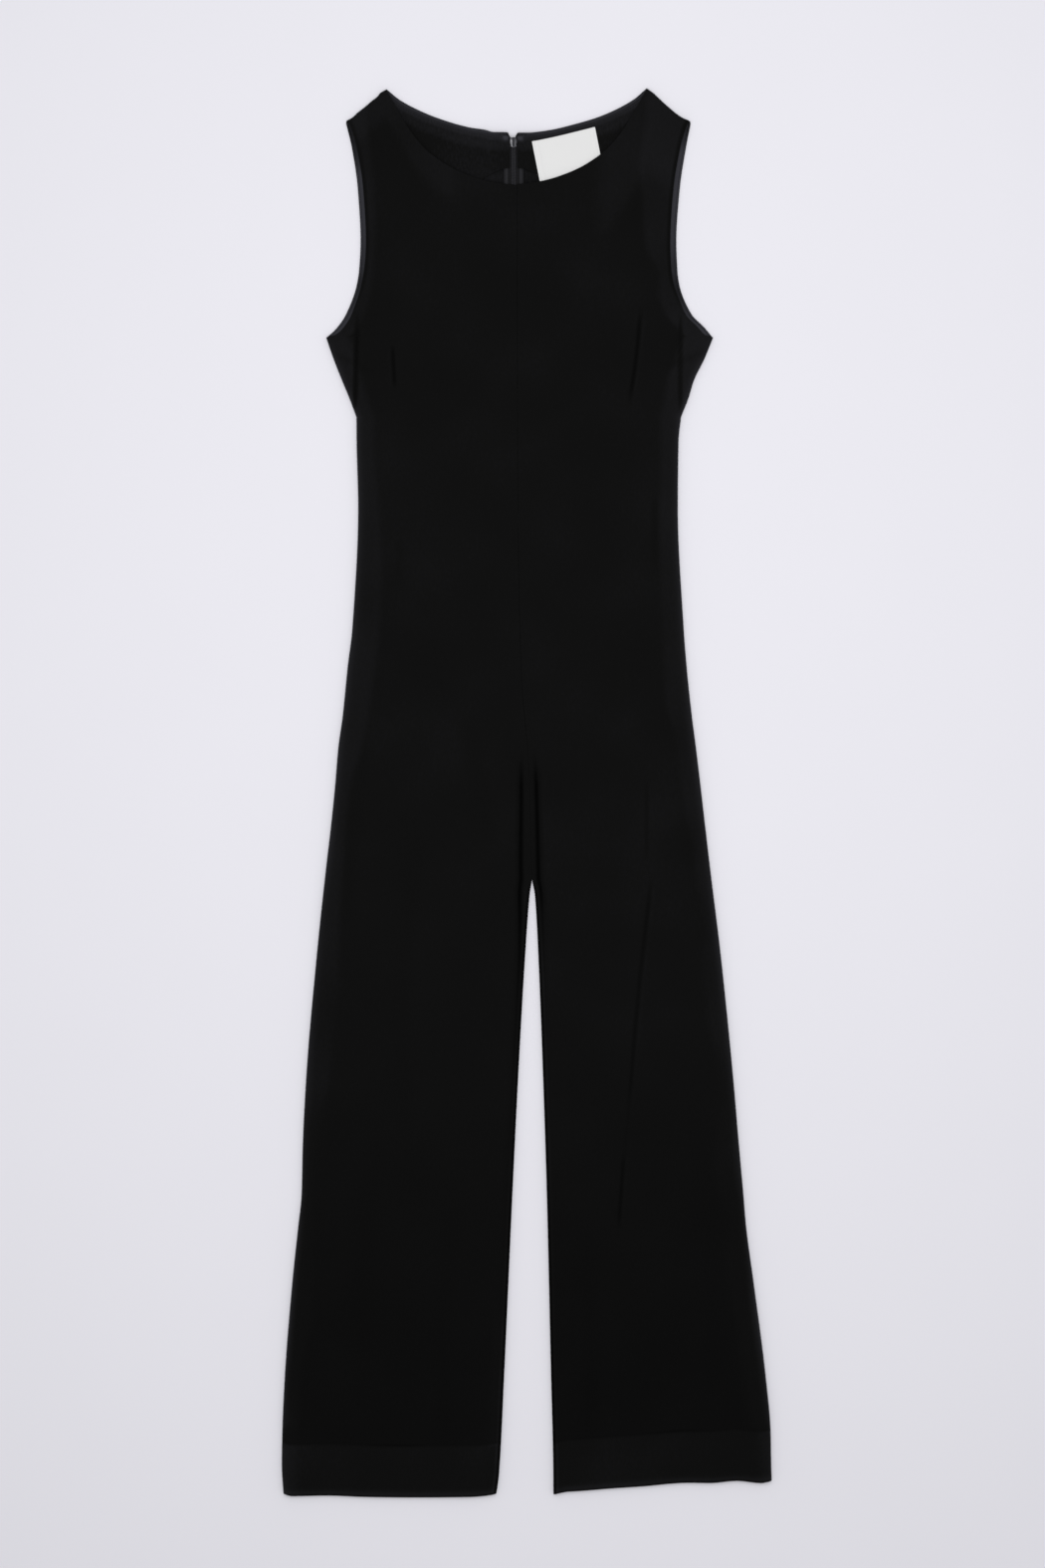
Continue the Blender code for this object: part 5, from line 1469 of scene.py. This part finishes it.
class JUMPSUIT_OT_stage(bpy.types.Operator):
    """Make the surface it lies on, the lights and the camera"""

    bl_idname = "jumpsuit.stage"
    bl_label = "Stage"

    def execute(self, context):
        s = context.scene.jumpsuit_stage
        build = bmesh.new()
        bmesh.ops.create_grid(build, x_segments=1, y_segments=1, size=FLOOR_HALF)
        mesh = bpy.data.meshes.new("floor")
        build.to_mesh(mesh)
        build.free()
        mesh.transform(Matrix.Translation((0.0, 0.0, -FLOOR_DOWN)))
        mesh.materials.append(stage_paper(s.paper))
        floor = new_object("floor", mesh)

        softbox = bpy.data.lights.new("softbox", "AREA")
        softbox.shape = "RECTANGLE"
        softbox.size, softbox.size_y = SOFTBOX_SIZE
        softbox.energy = s.light
        softbox.color = s.light_colour[:3]
        lamp = new_object("softbox", softbox)
        spot = Vector(s.light_place)
        lamp.location = spot
        aim = Vector((*s.light_aim, 0.0)) - spot
        lamp.rotation_euler = aim.to_track_quat("-Z", "Y").to_euler()
        lamp.visible_camera = False

        world = bpy.data.worlds.new("studio")
        world.use_nodes = True
        sky = world.node_tree.nodes["Background"]
        sky.inputs["Color"].default_value = s.sky
        sky.inputs["Strength"].default_value = s.sky_strength
        context.scene.world = world
        context.scene.view_settings.view_transform = "Standard"

        camera = bpy.data.cameras.new("camera")
        camera.lens = CAMERA_LENS
        camera.clip_end = CAMERA_FAR
        eye = new_object("camera", camera)
        eye.location = CAMERA_PLACE
        context.scene.camera = eye
        return {"FINISHED"}


def colour(name, hex_colour, description):
    return FloatVectorProperty(
        name=name, description=description, subtype="COLOR", size=4, min=0.0, max=1.0,
        default=linear(hex_colour),
    )


def size(name, millimetres, description):
    return FloatProperty(
        name=name, description=description, default=millimetres * MM, min=0.00005, unit="LENGTH"
    )


class ClothSettings(bpy.types.PropertyGroup):
    """Colours and sizes of the crepe"""

    black: colour("Black", "#0d0d0d", "The crepe where it lies flat")
    # The colour of the painted shade in folds and creases
    crease: colour("Crease", "#020202", "The crepe deep in a fold")
    # The colour of the painted sheen on turned edges
    painted_sheen: colour("Bloom", "#242427", "The crepe on a turned edge")
    facing: colour("Facing", "#0d0d0d", "The facings' crepe where it lies flat")
    # The colour of the painted light on the facings and the turned edges of neck and armhole
    painted_inner_light: colour("Inner Bloom", "#343439", "The facings and turned edges of neck and armhole")
    grain: size("Pebble", 2.2, "Size of the crepe's pebble as drawn")
    wall: size("Cloth", 1.2, "Thickness of one layer")
    hem_wall: size("Hem", 2.2, "Thickness of the turned-up hem")


class ZipSettings(bpy.types.PropertyGroup):
    """Colours and sizes of the zip"""

    tape: colour("Tape", "#0e0e10", "The zip's woven tape")
    rib: colour("Rib", "#333337", "The cords in the tape")
    coil: colour("Coil", "#252529", "The nylon coil")
    gleam: colour("Coil's Gleam", "#4a4a50", "The turns of the coil that catch the light")
    metal: colour("Slider", "#3a3a3e", "The plated slider and pull")
    # With the noise this gives the plating a random tone, and it is the colour of the painted highlight on
    # the slider's left crown
    metal_pale: colour("Slider's Worn Edge", "#9c9ca0", "Where the plating is rubbed")
    pitch: size("Coil Pitch", 1.5, "From one turn of the coil to the next")
    width: size("Coil Width", 2.5, "Width of one coil")
    height: size("Coil Height", 1.3, "Height of one coil")
    thread: size("Monofilament", 0.5, "Thickness of the coil's thread")


class ThreadSettings(bpy.types.PropertyGroup):
    """Colours and sizes of the stitching"""

    black: colour("Black Thread", "#0a0a0a", "The thread of the seams and hems")
    black_pale: colour("Black Thread's Fuzz", "#1c1c1c", "Its hairs, which catch the light")
    white: colour("White Thread", "#dcdce0", "The thread that holds the label")
    thread: size("Thread", 0.4, "Thickness of the thread")
    pitch: size("Stitch", 2.8, "From one stitch to the next")
    hem_pitch: size("Hem Stitch", 7.0, "From one blind stitch of the hem to the next")


class LabelSettings(bpy.types.PropertyGroup):
    """Colours of the label"""

    white: colour("White", "#dfdfdf", "The satin ribbon")
    shade: colour("Shade", "#ececeb", "The ribbon's floats, which catch the light")


class StageSettings(bpy.types.PropertyGroup):
    """Floor, lights and background"""

    paper: colour("Paper", "#e9e8ef", "The background paper that it lies on")
    sky: colour("Room", "#ffffff", "The room's even light")
    light_colour: colour("Softbox Colour", "#ffffff", "The softbox's light")
    sky_strength: FloatProperty(
        name="Room Light", description="Strength of the room's even light", default=0.577, min=0.0
    )
    light: FloatProperty(
        name="Softbox", description="Power of the softbox", default=28.9, min=0.0, unit="POWER"
    )
    light_place: FloatVectorProperty(
        name="Softbox Place", description="Where the softbox hangs", default=(0.043, 0.418, 2.29),
        subtype="XYZ", unit="LENGTH",
    )
    light_aim: FloatVectorProperty(
        name="Softbox Aim", description="Where on the surface the softbox points", size=2,
        default=(0.171, 1.298), unit="LENGTH",
    )


GROUPS = {
    "jumpsuit_cloth": ClothSettings,
    "jumpsuit_zip": ZipSettings,
    "jumpsuit_thread": ThreadSettings,
    "jumpsuit_label": LabelSettings,
    "jumpsuit_stage": StageSettings,
}
MAKERS = (
    JUMPSUIT_OT_fronts, JUMPSUIT_OT_backs, JUMPSUIT_OT_facings, JUMPSUIT_OT_zip_tapes,
    JUMPSUIT_OT_zip_coil, JUMPSUIT_OT_slider, JUMPSUIT_OT_pull, JUMPSUIT_OT_label,
    JUMPSUIT_OT_stitches, JUMPSUIT_OT_stage,
)


class JUMPSUIT_PT_pieces(bpy.types.Panel):
    """Lists the settings and the pieces"""

    bl_idname = "JUMPSUIT_PT_pieces"
    bl_label = "Jumpsuit"
    bl_space_type = "VIEW_3D"
    bl_region_type = "UI"
    bl_category = "Jumpsuit"

    def draw(self, context):
        for name, group in GROUPS.items():
            box = self.layout.box()
            box.label(text=group.__doc__)
            for field in group.__annotations__:
                box.prop(getattr(context.scene, name), field)
        for maker in MAKERS:
            self.layout.operator(maker.bl_idname)


def register():
    for item in (*GROUPS.values(), *MAKERS, JUMPSUIT_PT_pieces):
        bpy.utils.register_class(item)
    for name, group in GROUPS.items():
        setattr(bpy.types.Scene, name, PointerProperty(type=group))


def unregister():
    for name in GROUPS:
        delattr(bpy.types.Scene, name)
    for item in (JUMPSUIT_PT_pieces, *reversed(MAKERS), *reversed(list(GROUPS.values()))):
        bpy.utils.unregister_class(item)


def main():
    register()
    for maker in MAKERS:
        group, name = maker.bl_idname.split(".")
        getattr(getattr(bpy.ops, group), name)()


if __name__ == "__main__":
    main()
